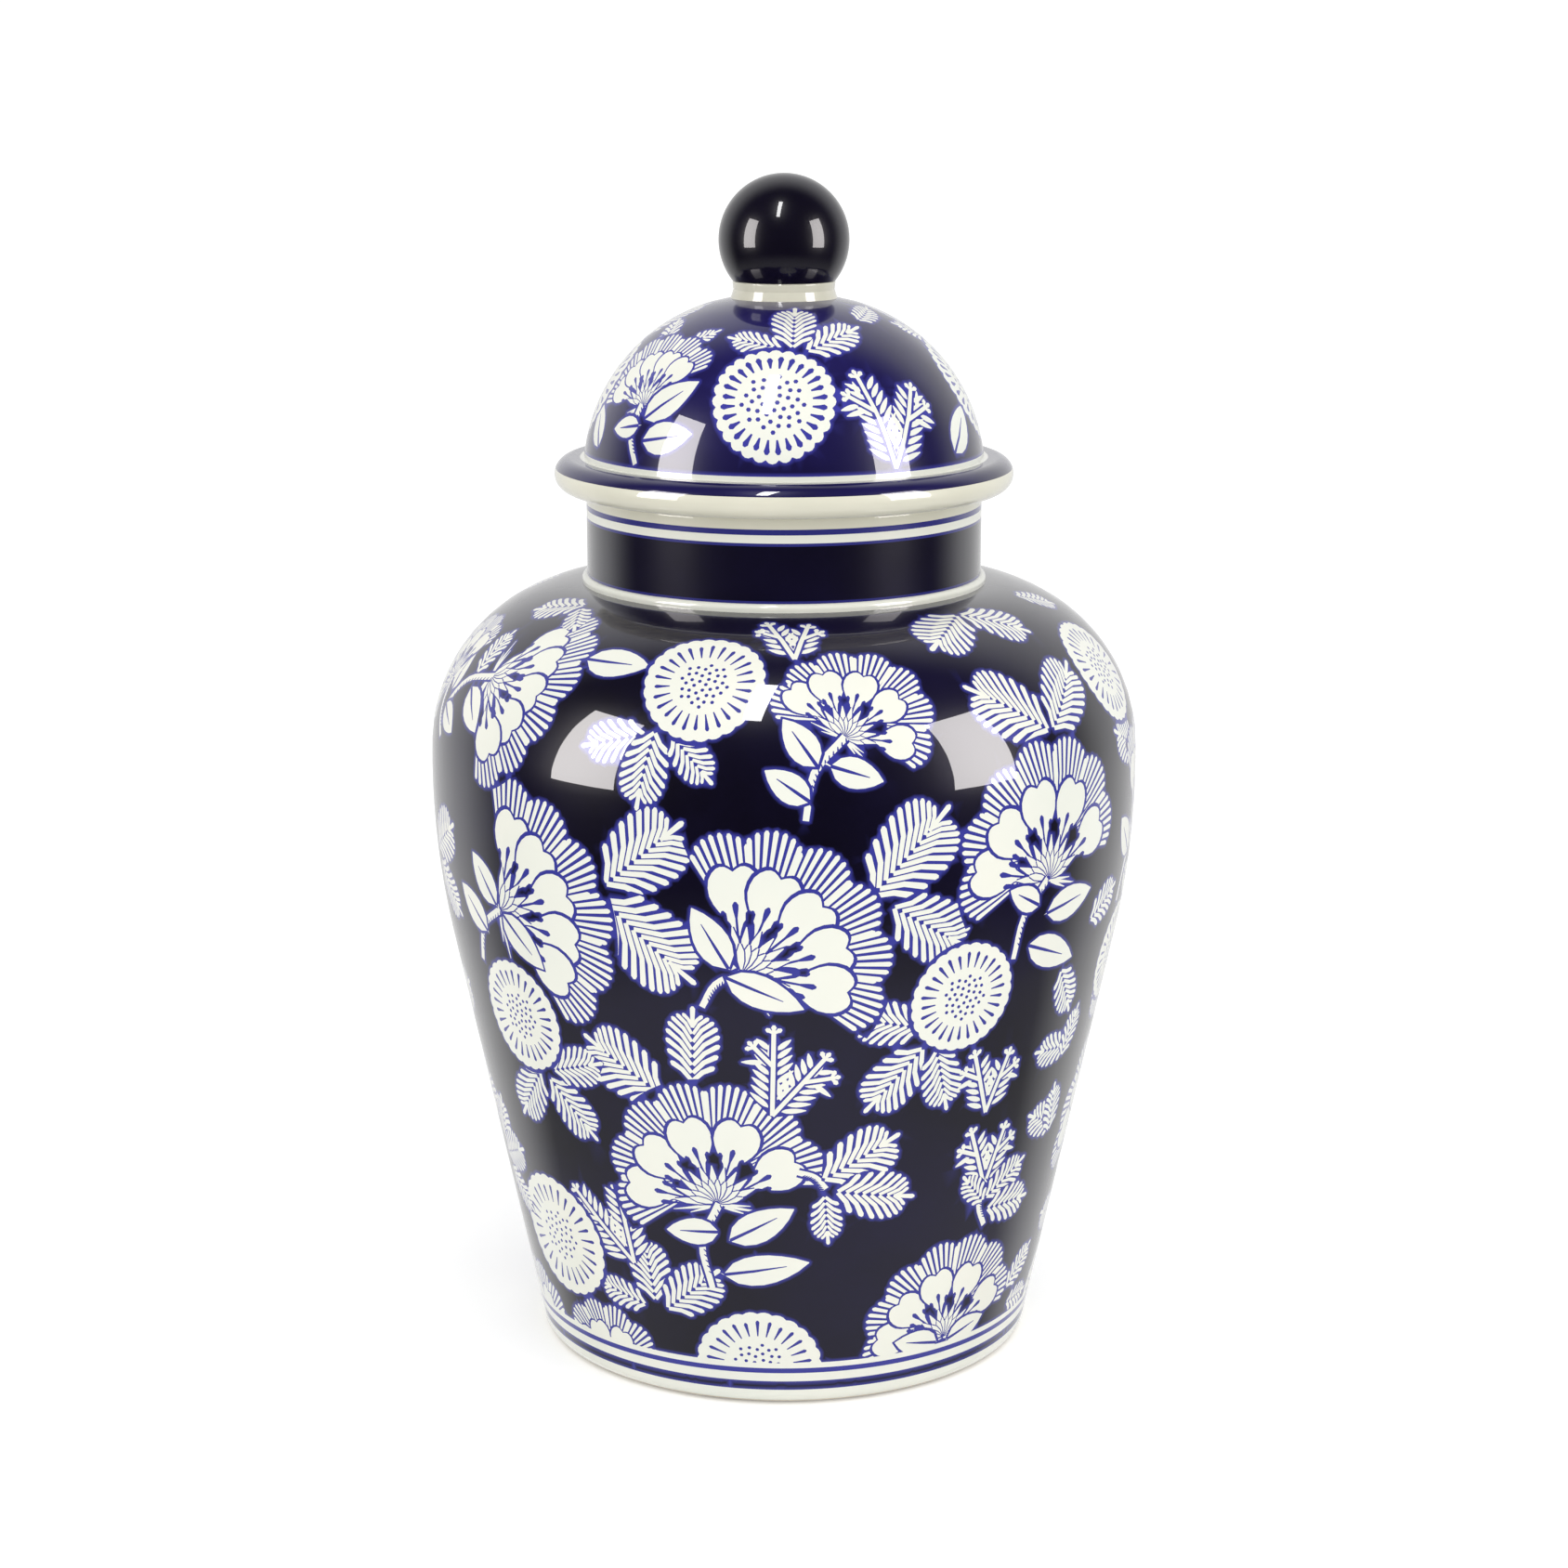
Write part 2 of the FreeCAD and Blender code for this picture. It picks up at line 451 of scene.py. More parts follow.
def petal(turn: float, grow: float = 0.0) -> Outline:
    """One two-lobed petal of a peony.

    Args:
        turn: The way it points from the flower's base, in radians.
        grow: How much to widen it all round.

    Returns:
        The outline.
    """
    half_edge = [
        8.6 + 0.3j, 12.4 + 1.5j, 15.4 + 4.0j, 19 + 5.9j, 23 + 5.8j, 25.6 + 3.9j, 26.0 + 1.9j, 24.8 + 0j
    ]
    middle, waist = 17.0, 5.9
    grown = [
        complex(middle + (p.real - middle) * (1 + grow / 10), p.imag * (1 + grow / waist))
        for p in half_edge
    ]
    upper = smooth(grown)
    lower = [p.conjugate() for p in upper[-2::-1]]
    return [p * cmath.rect(1.0, turn) for p in lower[::-1] + upper[::-1]]


@dataclass(frozen=True)
class Peony:
    """A peony seen from the side: petals, stamens, and a ruffle of fine strips behind."""

    petals: tuple[float, ...]
    heart: float
    rim: float
    first: float
    last: float
    scallops: int
    pitch: float = 1.95
    gap: float = 0.66
    margin: float = 2.4
    dip: float = 2.8
    swell: float = 4.4
    fringe_root: float = 0.42
    fringe_foot: float = 0.32
    fan_steps: int = 30
    petal_line: float = 0.9
    cup: float = 9.4
    cup_side: float = 0.25
    stamens: tuple[Spot, ...] = ((-0.2, 15.8), (0.0, 17.6), (0.2, 15.8))
    stamen_halves: tuple[float, ...] = (0.34, 0.28, 0.66, 0.76, 0.25)
    florets: tuple[Spot, ...] = ((11.6, 0.5), (7.4, 0.0))
    floret_turn: float = 0.31
    floret_line: tuple[float, ...] = (0.5, 1.1, 1.15, 0.5)
    floret_white: tuple[float, ...] = (0.22, 0.76, 0.84, 0.12)
    drooping: tuple[Spot, ...] = ((0.02, 9.0), (0.17, 12.5), (0.34, 8.0))

    def ruffle(self, scale: float) -> list[Patch]:
        """The fan of fine strips with a scalloped rim.

        Args:
            scale: The flower's final scale, which the strips' own width only half follows.

        Returns:
            The patches, before that scale.
        """
        heart, first = complex(self.heart, 0), math.radians(self.first)
        arc = math.radians(self.last) - first
        count = round(arc * self.rim * math.sqrt(scale) / self.pitch)
        spokes = [first + arc * i / self.fan_steps for i in range(self.fan_steps + 1)]
        fan = [heart + cmath.rect(self.rim + self.margin, spoke) for spoke in spokes]
        patches: list[Patch] = [(Ink.COBALT, [0j, *fan])]
        for i in range(count):
            part = (i + 0.5) / count
            wave = math.pi * (part * self.scallops % 1.0)
            reach = self.rim - self.dip + self.swell * math.sin(wave) ** 0.6
            turn = first + arc * part
            tip = heart + cmath.rect(reach, turn - 0.02 * math.cos(wave))
            root = heart + cmath.rect(self.fringe_root * self.rim, turn)
            half = arc / count * self.rim / 2 - self.gap / math.sqrt(scale) / 2
            patches.append((Ink.WHITE, strip(root, tip, half, self.fringe_foot)))
        return patches

    def bloom(self) -> list[Patch]:
        """The petals and the stamens on them.

        Returns:
            The patches, at the flower's own size.
        """
        turns = [math.radians(a) for a in self.petals]
        patches: list[Patch] = []
        for turn in turns:
            patches.append((Ink.COBALT, petal(turn, self.petal_line)))
            patches.append((Ink.WHITE, petal(turn)))
        high = max(turns) + self.cup_side
        low = min(turns) - self.cup_side
        cup = [cmath.rect(self.cup, low + (high - low) * i / 12) for i in range(13)]
        patches.append((Ink.COBALT, [-0.6 + 0j, *cup]))
        for turn in turns:
            for lean, reach in self.stamens:
                way = cmath.rect(1.0, turn + lean)
                path = [way * r for r in (7.0, reach - 4.0, reach - 1.9, reach - 0.8, reach)]
                patches.append((Ink.COBALT, stroke(path, self.stamen_halves)))
        count = round((high - low) / self.floret_turn)
        for reach, shift in self.florets:
            for i in range(count):
                way = cmath.rect(1.0, low + (high - low) * (i + shift) / count)
                path = [way * reach * r for r in (0.12, 0.4, 0.72, 1.0)]
                patches.append((Ink.COBALT, stroke(path, self.floret_line)))
                patches.append((Ink.WHITE, stroke(path, self.floret_white)))
        return patches

    def sepals(self) -> list[Patch]:
        """Thin strips that droop below the petals.

        Returns:
            The patches, at the flower's own size.
        """
        patches: list[Patch] = []
        for side in (1, -1):
            for droop, reach in self.drooping:
                way = cmath.rect(1.0, side * (math.pi / 2 + droop))
                path = [way * reach * t - 0.4 for t in (0.05, 0.5, 1.0)]
                patches.append((Ink.WHITE, stroke(path, (0.3, 0.42, 0.1))))
        return patches

    def patches(self, length: float) -> list[Patch]:
        """Draws it from the origin along the x axis.

        Args:
            length: From its base to the top of the ruffle.

        Returns:
            The patches.
        """
        scale = length / (self.heart + self.rim + 1.6)
        drawn = self.ruffle(scale) + self.sepals() + self.bloom()
        return [(ink, [p * scale for p in outline]) for ink, outline in drawn]


UPRIGHT = Peony((81.0, 50.0, 16.0, -20.0, -60.0), 6.5, 28.6, -92.0, 124.0, 7)
OPEN = Peony((53.0, 27.0, 0.0, -27.0, -53.0), 4.5, 30.4, -80.0, 80.0, 6)


@dataclass(frozen=True)
class Medallion:
    """A round daisy: a white disc with radial slots and a field of dots."""

    slots: int = 26
    slot_root: float = 0.55
    slot_tip: float = 0.84
    slot_half: float = 0.55
    dots_edge: float = 0.42
    dots: int = 38
    dot: float = 0.55
    scallop: float = 0.035
    line: float = 1.1

    def patches(self, radius: float) -> list[Patch]:
        """Draws it round the origin.

        Args:
            radius: Its radius.

        Returns:
            The patches.
        """
        edge: Outline = []
        for i in range(self.slots * 4):
            wave = abs(math.sin(math.pi * i / 4)) ** 0.8
            reach = radius * (1 - self.scallop + self.scallop * wave)
            edge.append(cmath.rect(reach, math.tau * (i / 4 + 0.5) / self.slots))
        patches: list[Patch] = [(Ink.COBALT, circle(0j, radius + self.line, 48)), (Ink.WHITE, edge)]
        for i in range(self.slots):
            way = cmath.rect(radius, math.tau * (i + 0.5) / self.slots)
            tip = way * (self.slot_tip - 0.03 * (i % 3 == 1))
            patches.append((Ink.COBALT, strip(way * self.slot_root, tip, self.slot_half, 0.3)))
        golden = math.pi * (3 - math.sqrt(5))
        for i in range(self.dots):
            reach = self.dots_edge * radius * math.sqrt((i + 0.5) / self.dots)
            patches.append((Ink.COBALT, circle(cmath.rect(reach, golden * i), self.dot, 6)))
        return patches


DRAW: dict[Motif, Callable[[float], list[Patch]]] = {
    Motif.PEONY: UPRIGHT.patches,
    Motif.OPEN_PEONY: OPEN.patches,
    Motif.BUD_LEAF: solid_leaf,
    Motif.FEATHER: feather,
    Motif.STEM: stem,
    Motif.CORAL: coral,
}


# ---------------------------------------------------------------- where the painter put them

Growth = tuple[Motif, Spot, Spot]
Disc = tuple[float, float, float]

BODY_GROWTH: tuple[Growth, ...] = (
    # Lowest tier.
    (Motif.PEONY, (-42, -2), (-42, 22)),
    (Motif.PEONY, (37, 12.5), (37, 44.5)),
    (Motif.BUD_LEAF, (35.5, 11), (24.5, 14)),
    (Motif.BUD_LEAF, (38.5, 11), (49, 15)),
    (Motif.FEATHER, (-30, 25), (-42, 29)),
    (Motif.FEATHER, (-27.5, 27), (-28.5, 48)),
    (Motif.FEATHER, (-25, 25), (-12.5, 40)),
    (Motif.CORAL, (-31.5, 38), (-40.5, 66)),
    (Motif.FEATHER, (57, 20), (66, 31)),
    (Motif.FEATHER, (59, 14), (70, 14)),
    # The upright flower and what grows round it.
    (Motif.FEATHER, (-21, 93), (-35.5, 108)),
    (Motif.FEATHER, (-15.5, 98), (-14.5, 121)),
    (Motif.PEONY, (-12.5, 61), (-13.5, 98.5)),
    (Motif.STEM, (-14.5, 34), (-12, 61)),
    (Motif.BUD_LEAF, (-12.5, 52), (-23, 51)),
    (Motif.BUD_LEAF, (-10.5, 49.5), (2, 60)),
    (Motif.BUD_LEAF, (-12, 38.5), (5, 43)),
    (Motif.STEM, (2.5, 71.5), (7.5, 66)),
    (Motif.FEATHER, (7, 69), (21, 81.5)),
    (Motif.FEATHER, (9.5, 65), (25, 61)),
    (Motif.FEATHER, (7.5, 64), (8.5, 48.5)),
    (Motif.CORAL, (-2, 89), (4.5, 117)),
    # Left medallion's leaves.
    (Motif.FEATHER, (-48, 92), (-57, 75)),
    (Motif.FEATHER, (-45.5, 91), (-36, 75)),
    (Motif.FEATHER, (-44, 94), (-32, 100)),
    # Right chain.
    (Motif.FEATHER, (23, 113), (10.5, 118)),
    (Motif.FEATHER, (23.5, 107), (14, 89)),
    (Motif.FEATHER, (26, 106), (29.5, 86.5)),
    (Motif.CORAL, (38.5, 83), (38, 107)),
    (Motif.CORAL, (41.5, 59), (40, 83)),
    (Motif.STEM, (43.5, 46), (41.5, 61)),
    (Motif.FEATHER, (42, 54), (35.5, 64)),
    (Motif.FEATHER, (42.5, 55), (53, 64)),
    (Motif.FEATHER, (43.5, 51), (57, 50)),
    (Motif.FEATHER, (52, 121), (58, 106)),
    (Motif.FEATHER, (60, 95), (49, 97)),
    (Motif.FEATHER, (59, 92), (62, 107)),
    (Motif.FEATHER, (62, 70), (51, 77)),
    (Motif.FEATHER, (61, 68), (59, 84)),
    # Middle tier: two open flowers with feathers between them.
    (Motif.FEATHER, (-28, 153), (-15, 172)),
    (Motif.FEATHER, (-28.5, 149), (-14, 127.5)),
    (Motif.OPEN_PEONY, (-51, 139), (-28, 152)),
    (Motif.STEM, (-60, 121), (-51, 139)),
    (Motif.BUD_LEAF, (-52, 140), (-58, 153)),
    (Motif.BUD_LEAF, (-56, 131), (-63.5, 142)),
    (Motif.BUD_LEAF, (-50.5, 138), (-42, 125)),
    (Motif.FEATHER, (13, 152), (25.5, 175)),
    (Motif.FEATHER, (16.5, 149), (29.5, 135)),
    (Motif.OPEN_PEONY, (-6.5, 131.5), (11.5, 158.5)),
    (Motif.STEM, (-13, 121), (-6.5, 131.5)),
    (Motif.BUD_LEAF, (-8.5, 132.5), (-14, 149)),
    (Motif.BUD_LEAF, (-9, 130), (3, 121)),
    # Right flower under its spread of leaves.
    (Motif.FEATHER, (46.5, 190), (32.5, 206)),
    (Motif.FEATHER, (47.5, 190), (59.5, 207)),
    (Motif.PEONY, (45, 150), (46.5, 188.5)),
    (Motif.STEM, (39, 129), (45, 150)),
    (Motif.BUD_LEAF, (43.5, 143), (37, 149)),
    (Motif.BUD_LEAF, (45.5, 140), (57.5, 143)),
    (Motif.BUD_LEAF, (42, 132), (54.5, 124)),
    (Motif.FEATHER, (59, 133), (69, 140)),
    # Shoulder tier.
    (Motif.FEATHER, (-22, 194), (-33, 189)),
    (Motif.FEATHER, (-20.5, 195), (-22.5, 174)),
    (Motif.FEATHER, (-17.5, 194), (-10.5, 182)),
    (Motif.PEONY, (9.3, 194.5), (20, 215.5)),
    (Motif.STEM, (3.2, 173), (9.3, 194.5)),
    (Motif.BUD_LEAF, (5, 187), (0, 199.5)),
    (Motif.BUD_LEAF, (3.8, 178), (-2.8, 186)),
    (Motif.BUD_LEAF, (7, 187), (15, 182.5)),
    (Motif.OPEN_PEONY, (-60, 202), (-38.5, 199)),
    (Motif.STEM, (-74, 188), (-60, 202)),
    (Motif.BUD_LEAF, (-65, 197), (-58, 186)),
    (Motif.FEATHER, (-66, 201), (-65, 217)),
    (Motif.BUD_LEAF, (-74, 193), (-73, 207)),
    (Motif.BUD_LEAF, (-38.5, 213.5), (-25, 213.5)),
    (Motif.CORAL, (2, 218), (1, 238)),
    (Motif.FEATHER, (43.5, 232), (28, 218.5)),
    (Motif.FEATHER, (44.5, 232), (58.5, 218.5)),
    (Motif.FEATHER, (-56, 234), (-70, 225)),
    (Motif.FEATHER, (-55, 232), (-47, 222)),
    # The side between one face and the other.
    (Motif.FEATHER, (82, 101), (69, 106)),
    (Motif.FEATHER, (96, 99), (108, 109)),
    (Motif.PEONY, (88, 60), (88, 98)),
    (Motif.STEM, (84, 34), (88, 60)),
    (Motif.BUD_LEAF, (87, 50), (76, 50)),
    (Motif.BUD_LEAF, (87.5, 47), (100, 55)),
    (Motif.BUD_LEAF, (85, 38), (97, 33)),
    (Motif.FEATHER, (82, 33), (69, 38)),
    (Motif.FEATHER, (107, 58), (112, 76)),
    (Motif.FEATHER, (106, 55), (119, 62)),
    (Motif.FEATHER, (107, 51), (117, 41)),
    (Motif.PEONY, (108, -3), (108, 23)),
    (Motif.FEATHER, (77, 175), (66, 184)),
    (Motif.OPEN_PEONY, (79, 150), (93, 174)),
    (Motif.STEM, (72, 133), (79, 150)),
    (Motif.BUD_LEAF, (76, 146), (69, 158)),
    (Motif.BUD_LEAF, (75, 141), (85, 131)),
    (Motif.FEATHER, (103, 147), (115, 158)),
    (Motif.FEATHER, (104, 143), (114, 131)),
    (Motif.PEONY, (103, 196), (93, 213)),
    (Motif.STEM, (107, 180), (103, 196)),
    (Motif.BUD_LEAF, (106, 189), (113, 183)),
    (Motif.FEATHER, (74, 232), (84, 222)),
    (Motif.CORAL, (90, 103), (94, 128)),
)

BODY_DISCS: tuple[Disc, ...] = (
    (-14, 209, 16.2),
    (72, 201, 16.0),
    (30, 120.5, 15.8),
    (-50.7, 108, 16.2),
    (-52.8, 39, 18.5),
    (-5.5, 9.5, 17.5),
    (84, 9.5, 17.0),
    (76, 117, 14.5),
)

LID_GROWTH: tuple[Growth, ...] = (
    (Motif.FEATHER, (-46, 37), (-33, 46)),
    (Motif.FEATHER, (-58, 38), (-72, 49)),
    (Motif.OPEN_PEONY, (-49, 18.5), (-61, 41)),
    (Motif.STEM, (-46, 2.5), (-49, 19)),
    (Motif.BUD_LEAF, (-46, 15), (-30.5, 27)),
    (Motif.BUD_LEAF, (-44.5, 9), (-27.5, 12)),
    (Motif.BUD_LEAF, (-47.5, 13), (-59, 11)),
    (Motif.FEATHER, (-1, 39), (-25, 43)),
    (Motif.FEATHER, (9, 38), (37, 47)),
    (Motif.FEATHER, (3.5, 39), (7, 59)),
    (Motif.CORAL, (32.5, 2.5), (37, 34)),
    (Motif.BUD_LEAF, (57, 4.5), (69.5, 16.5)),
    (Motif.FEATHER, (45, 50), (75, 56)),
    (Motif.FEATHER, (88, 37), (72, 47)),
    (Motif.FEATHER, (91, 39), (96, 59)),
    (Motif.BUD_LEAF, (113, 5), (105, 17)),
)

LID_DISCS: tuple[Disc, ...] = (
    (-3.2, 21.5, 16.8),
    (88, 21.5, 16.4),
)


# ---------------------------------------------------------------- the decorated sheet


class Sheet:
    """A decorated wall laid flat: x is the angle times a fixed radius and y the height along the wall."""

    row_height = 6.0
    bleed = 1.2
    clear = 0.85
    halo_step = 1.4
    halo_spokes = 6
    halo_cell = 1.3
    sample = 0.5
    longest = 3.6
    slack = 0.02
    weld = 1e-6
    shortest = 1e-4

    def __init__(self, wall: Wall, radius: float, steps: int) -> None:
        """Sets up an empty sheet.

        Args:
            wall: The wall that it covers.
            radius: Radius at which its width is true.
            steps: How many flats the wall has round it.
        """
        self.wall = wall
        self.radius = radius
        self.steps = steps
        self.half_width = math.pi * radius
        self.patches: list[Patch] = []

    def columns(self) -> list[float]:
        """Where the flats' edges stand, from one side of the sheet to the other."""
        return [self.half_width * (2 * i / self.steps - 1) for i in range(self.steps + 1)]

    def place(self, patches: Sequence[Patch], spot: Spot, turn: float) -> None:
        """Paints some patches at a spot.

        Args:
            patches: What to paint, in millimetres round its own origin.
            spot: Degrees round the jar and millimetres up the wall.
            turn: How far to turn it, in radians.
        """
        across, up = math.radians(spot[0]), spot[1]
        way = cmath.rect(1.0, turn)
        for ink, outline in patches:
            laid = []
            for point in outline:
                local = point * way
                height = up + local.imag
                width = self.wall.radius(min(max(height, 0.0), self.wall.length))
                laid.append(complex(self.radius * (across + local.real / width), height))
            self.lay(ink, laid)

    def lay(self, ink: Ink, outline: Outline) -> None:
        """Adds an outline, going round the back where it runs off one side.

        Args:
            ink: Its colour.
            outline: The outline on the sheet.
        """
        for shift in (-2 * self.half_width, 0.0, 2 * self.half_width):
            moved = [p + shift for p in outline]
            kept = self.trim(moved)
            if len(kept) > 2:
                self.patches.append((ink, kept))

    def trim(self, outline: Outline) -> Outline:
        """Cuts an outline off at the sheet's edges.

        Args:
            outline: Any outline.

        Returns:
            What is left of it, maybe nothing.
        """
        edges = (
            (1.0 + 0j, -self.half_width),
            (-1.0 + 0j, -self.half_width),
            (1j, 0.0),
            (-1j, -self.wall.length),
        )
        for normal, limit in edges:
            depth = [(p * normal.conjugate()).real - limit for p in outline]
            if min(depth, default=-1.0) >= 0.0:
                continue
            if max(depth, default=-1.0) <= 0.0:
                return []
            kept: Outline = []
            for i, point in enumerate(outline):
                other, d0, d1 = outline[i - 1], depth[i - 1], depth[i]
                if (d0 < 0.0) != (d1 < 0.0):
                    kept.append(other + (point - other) * (d0 / (d0 - d1)))
                if d1 >= 0.0:
                    kept.append(point)
            outline = kept
        return outline

    def band(self, low: float, high: float, ink: Ink) -> None:
        """Paints a ring right round the jar.

        Args:
            low: Its lower edge.
            high: Its upper edge.
            ink: Its colour.
        """
        columns = self.columns()
        outline = [complex(x, low) for x in columns] + [complex(x, high) for x in columns[::-1]]
        self.patches.append((ink, outline))

    def grow(self, growths: Sequence[Growth], discs: Sequence[Disc], disc: Medallion) -> None:
        """Paints a list of motifs on the two opposite faces.

        Args:
            growths: Each motif with its root and its tip.
            discs: Each medallion's place and radius.
            disc: How the medallions are drawn.
        """
        for face in (0.0, 180.0):
            for motif, root, tip in growths:
                width = self.wall.radius((root[1] + tip[1]) / 2)
                reach = complex(math.radians(tip[0] - root[0]) * width, tip[1] - root[1])
                self.place(DRAW[motif](abs(reach)), (root[0] + face, root[1]), cmath.phase(reach))
            for across, up, radius in discs:
                self.place(disc.patches(radius), (across + face, up), 0.0)

    def blank(self) -> tuple[Outline, Outline]:
        """The bare sheet.

        Returns:
            Its outline, and a grid of points inside it.
        """
        columns = self.columns()
        rows = max(2, round(self.wall.length / self.row_height))
        heights = [self.wall.length * k / rows for k in range(rows + 1)]
        rim = [complex(x, 0.0) for x in columns]
        rim += [complex(columns[-1], y) for y in heights[1:-1]]
        rim += [complex(x, heights[-1]) for x in columns[::-1]]
        rim += [complex(columns[0], y) for y in heights[-2:0:-1]]
        return rim, [complex(x, y) for x in columns[1:-1] for y in heights[1:-1]]

    def overlay(self) -> tuple[Outline, list[tuple[int, int]]]:
        """Lays every patch over the ones before it and keeps what shows.

        Returns:
            Points, and the edges between white and blue as pairs of them with the blue to the left.
        """
        points: list[Vector] = []
        faces: list[list[int]] = []
        inks: list[Ink] = []
        for ink, outline in [(Ink.COBALT, self.blank()[0]), *self.patches]:
            area = sum((a.conjugate() * b).imag for a, b in zip(outline, outline[1:] + outline[:1]))
            ordered = outline if area > 0 else outline[::-1]
            faces.append(list(range(len(points), len(points) + len(ordered))))
            points += [Vector((p.real, p.imag)) for p in ordered]
            inks.append(ink)
        spots, _, cells, _, _, owners = delaunay_2d_cdt(points, [], faces, 1, self.weld, True)
        seen: dict[tuple[int, int], Ink] = {}
        shores: list[tuple[int, int]] = []
        for cell, owner in zip(cells, owners):
            ink = inks[max(owner, default=0)]
            for a, b in zip(cell, (*cell[1:], cell[0])):
                other = seen.get((b, a))
                if other is None:
                    seen[a, b] = ink
                elif other is not ink:
                    shores.append((a, b) if ink is Ink.COBALT else (b, a))
        return [complex(v.x, v.y) for v in spots], shores

    def ease(self, spots: Outline, shores: Sequence[tuple[int, int]]) -> list[tuple[int, int]]:
        """Joins short edges that run straight on from one another.

        Args:
            spots: The points.
            shores: The edges between white and blue.

        Returns:
            The edges that are left.
        """
        after: dict[int, list[int]] = {}
        before: dict[int, list[int]] = {}
        for a, b in shores:
            after.setdefault(a, []).append(b)
            before.setdefault(b, []).append(a)
        for spot in list(after):
            if len(after[spot]) != 1 or len(before.get(spot, ())) != 1:
                continue
            last, following = before[spot][0], after[spot][0]
            along = spots[following] - spots[last]
            if last == following or not 0.0 < abs(along) < self.longest:
                continue
            if abs(((spots[spot] - spots[last]) * along.conjugate()).imag) / abs(along) > self.slack:
                continue
            after[last][after[last].index(spot)] = following
            before[following][before[following].index(spot)] = last
            after[spot], before[spot] = [], []
        return [(a, b) for a, ends in after.items() for b in ends]

    def cut(
        self, spots: Outline, shores: Sequence[tuple[int, int]], extra: Sequence[complex]
    ) -> tuple[Outline, list[tuple[int, ...]], list[Ink]]:
        """Cuts the sheet into triangles along the edges between white and blue.

        Args:
            spots: The points that the edges join.
            shores: The edges, with the blue to the left.
            extra: More points that the triangles should use.

        Returns:
            The points, the triangles and each triangle's colour.
        """
        rim = self.blank()[0]
        used = sorted({spot for shore in shores for spot in shore})
        number = {spot: len(rim) + i for i, spot in enumerate(used)}
        points = [*rim, *(spots[i] for i in used), *extra]
        edges = [(number[a], number[b]) for a, b in shores]
        flat = [Vector((p.real, p.imag)) for p in points]
        corners, lines, cells, _, sources, _ = delaunay_2d_cdt(
            flat, edges, [list(range(len(rim)))], 1, self.weld, True
        )
        sides: dict[tuple[int, int], Ink] = {}
        for (a, b), source in zip(lines, sources):
            for origin in source:
                if origin < len(edges):
                    i, j = edges[origin]
                    ahead = (corners[b] - corners[a]).dot(flat[j] - flat[i]) > 0
                    sides[(a, b) if ahead else (b, a)] = Ink.COBALT
                    sides[(b, a) if ahead else (a, b)] = Ink.WHITE
        borders = [tuple(zip(cell, (*cell[1:], cell[0]))) for cell in cells]
        owner = {border: i for i, ring in enumerate(borders) for border in ring}
        inks: dict[int, Ink] = {owner[border]: ink for border, ink in sides.items() if border in owner}
        wave = list(inks)
        while wave:
            cell = wave.pop()
            for a, b in borders[cell]:
                neighbour = owner.get((b, a))
                if (a, b) not in sides and neighbour is not None and neighbour not in inks:
                    inks[neighbour] = inks[cell]
                    wave.append(neighbour)
        colours = [inks.get(i, Ink.COBALT) for i in range(len(cells))]
        return [complex(v.x, v.y) for v in corners], [tuple(cell) for cell in cells], colours

    def lift(self, spot: complex) -> tuple[Vector, complex, complex]:
        """Where a point of the sheet is on the jar.

        Args:
            spot: The point on the sheet.

        Returns:
            Its place in space, its place in the section, and the section's normal there.
        """
        point, normal = self.wall.at(spot.imag)
        angle = spot.real / self.radius
        place = Vector((point.real * math.sin(angle), -point.real * math.cos(angle), point.imag))
        return place, point, normal

    def halo(self, offers: Sequence[complex], tree: kdtree.KDTree) -> list[complex]:
        """Chooses points round the white, where the thin blue ends.

        Args:
            offers: Points to choose from.
            tree: Places along the edges between white and blue.

        Returns:
            The points that are clear of the white and of one another.
        """
        chosen: list[complex] = []
        taken: set[tuple[int, int]] = set()
        crowded: set[tuple[int, int]] = set()
        for spot in offers:
            if not (-self.half_width < spot.real < self.half_width and 0 < spot.imag < self.wall.length):
                continue
            true = complex(spot.real * self.wall.radius(spot.imag) / self.radius, spot.imag)
            cell = (round(true.real / self.halo_cell), round(true.imag / self.halo_cell))
            fine = (round(true.real / self.sample), round(true.imag / self.sample))
            if cell in taken or fine in crowded:
                continue
            if tree.find(self.lift(spot)[0])[2] < self.clear * self.bleed:
                crowded.add(fine)
                continue
            taken.add(cell)
            chosen.append(spot)
        return chosen

    def finish(self) -> tuple[Outline, list[tuple[int, ...]], list[Ink], list[float]]:
        """Cuts the sheet and finds how much the blue has run thin beside the white.

        Returns:
            The points, the triangles, their colours, and each point's thinness from 0 to 1.
        """
        spots, shores = self.overlay()
        shores = self.ease(spots, shores)
        samples: list[Vector] = []
        offers: list[complex] = []
        for start, end in shores:
            a, b = spots[start], spots[end]
            stretch = self.radius / self.wall.radius((a.imag + b.imag) / 2)
            along = complex((b - a).real / stretch, (b - a).imag)
            if abs(along) < self.shortest:
                continue
            side = 1j * along / abs(along)
            count = max(1, round(abs(along) / self.sample))
            samples += [self.lift(a + (b - a) * i / count)[0] for i in range(count + 1)]
            offset = complex(side.real * stretch, side.imag) * self.bleed
            halos = max(1, round(abs(along) / (self.halo_step * self.bleed)))
            offers += [a + (b - a) * (i + 0.5) / halos + offset for i in range(halos)]
            for spoke in circle(0j, self.bleed, self.halo_spokes, cmath.phase(side)):
                offers.append(a + complex(spoke.real * stretch, spoke.imag))
        tree = kdtree.KDTree(len(samples))
        for i, place in enumerate(samples):
            tree.insert(place, i)
        tree.balance()
        grid = [spot for spot in self.blank()[1] if tree.find(self.lift(spot)[0])[2] > 2 * self.bleed]
        spots, cells, inks = self.cut(spots, shores, [*grid, *self.halo(offers, tree)])
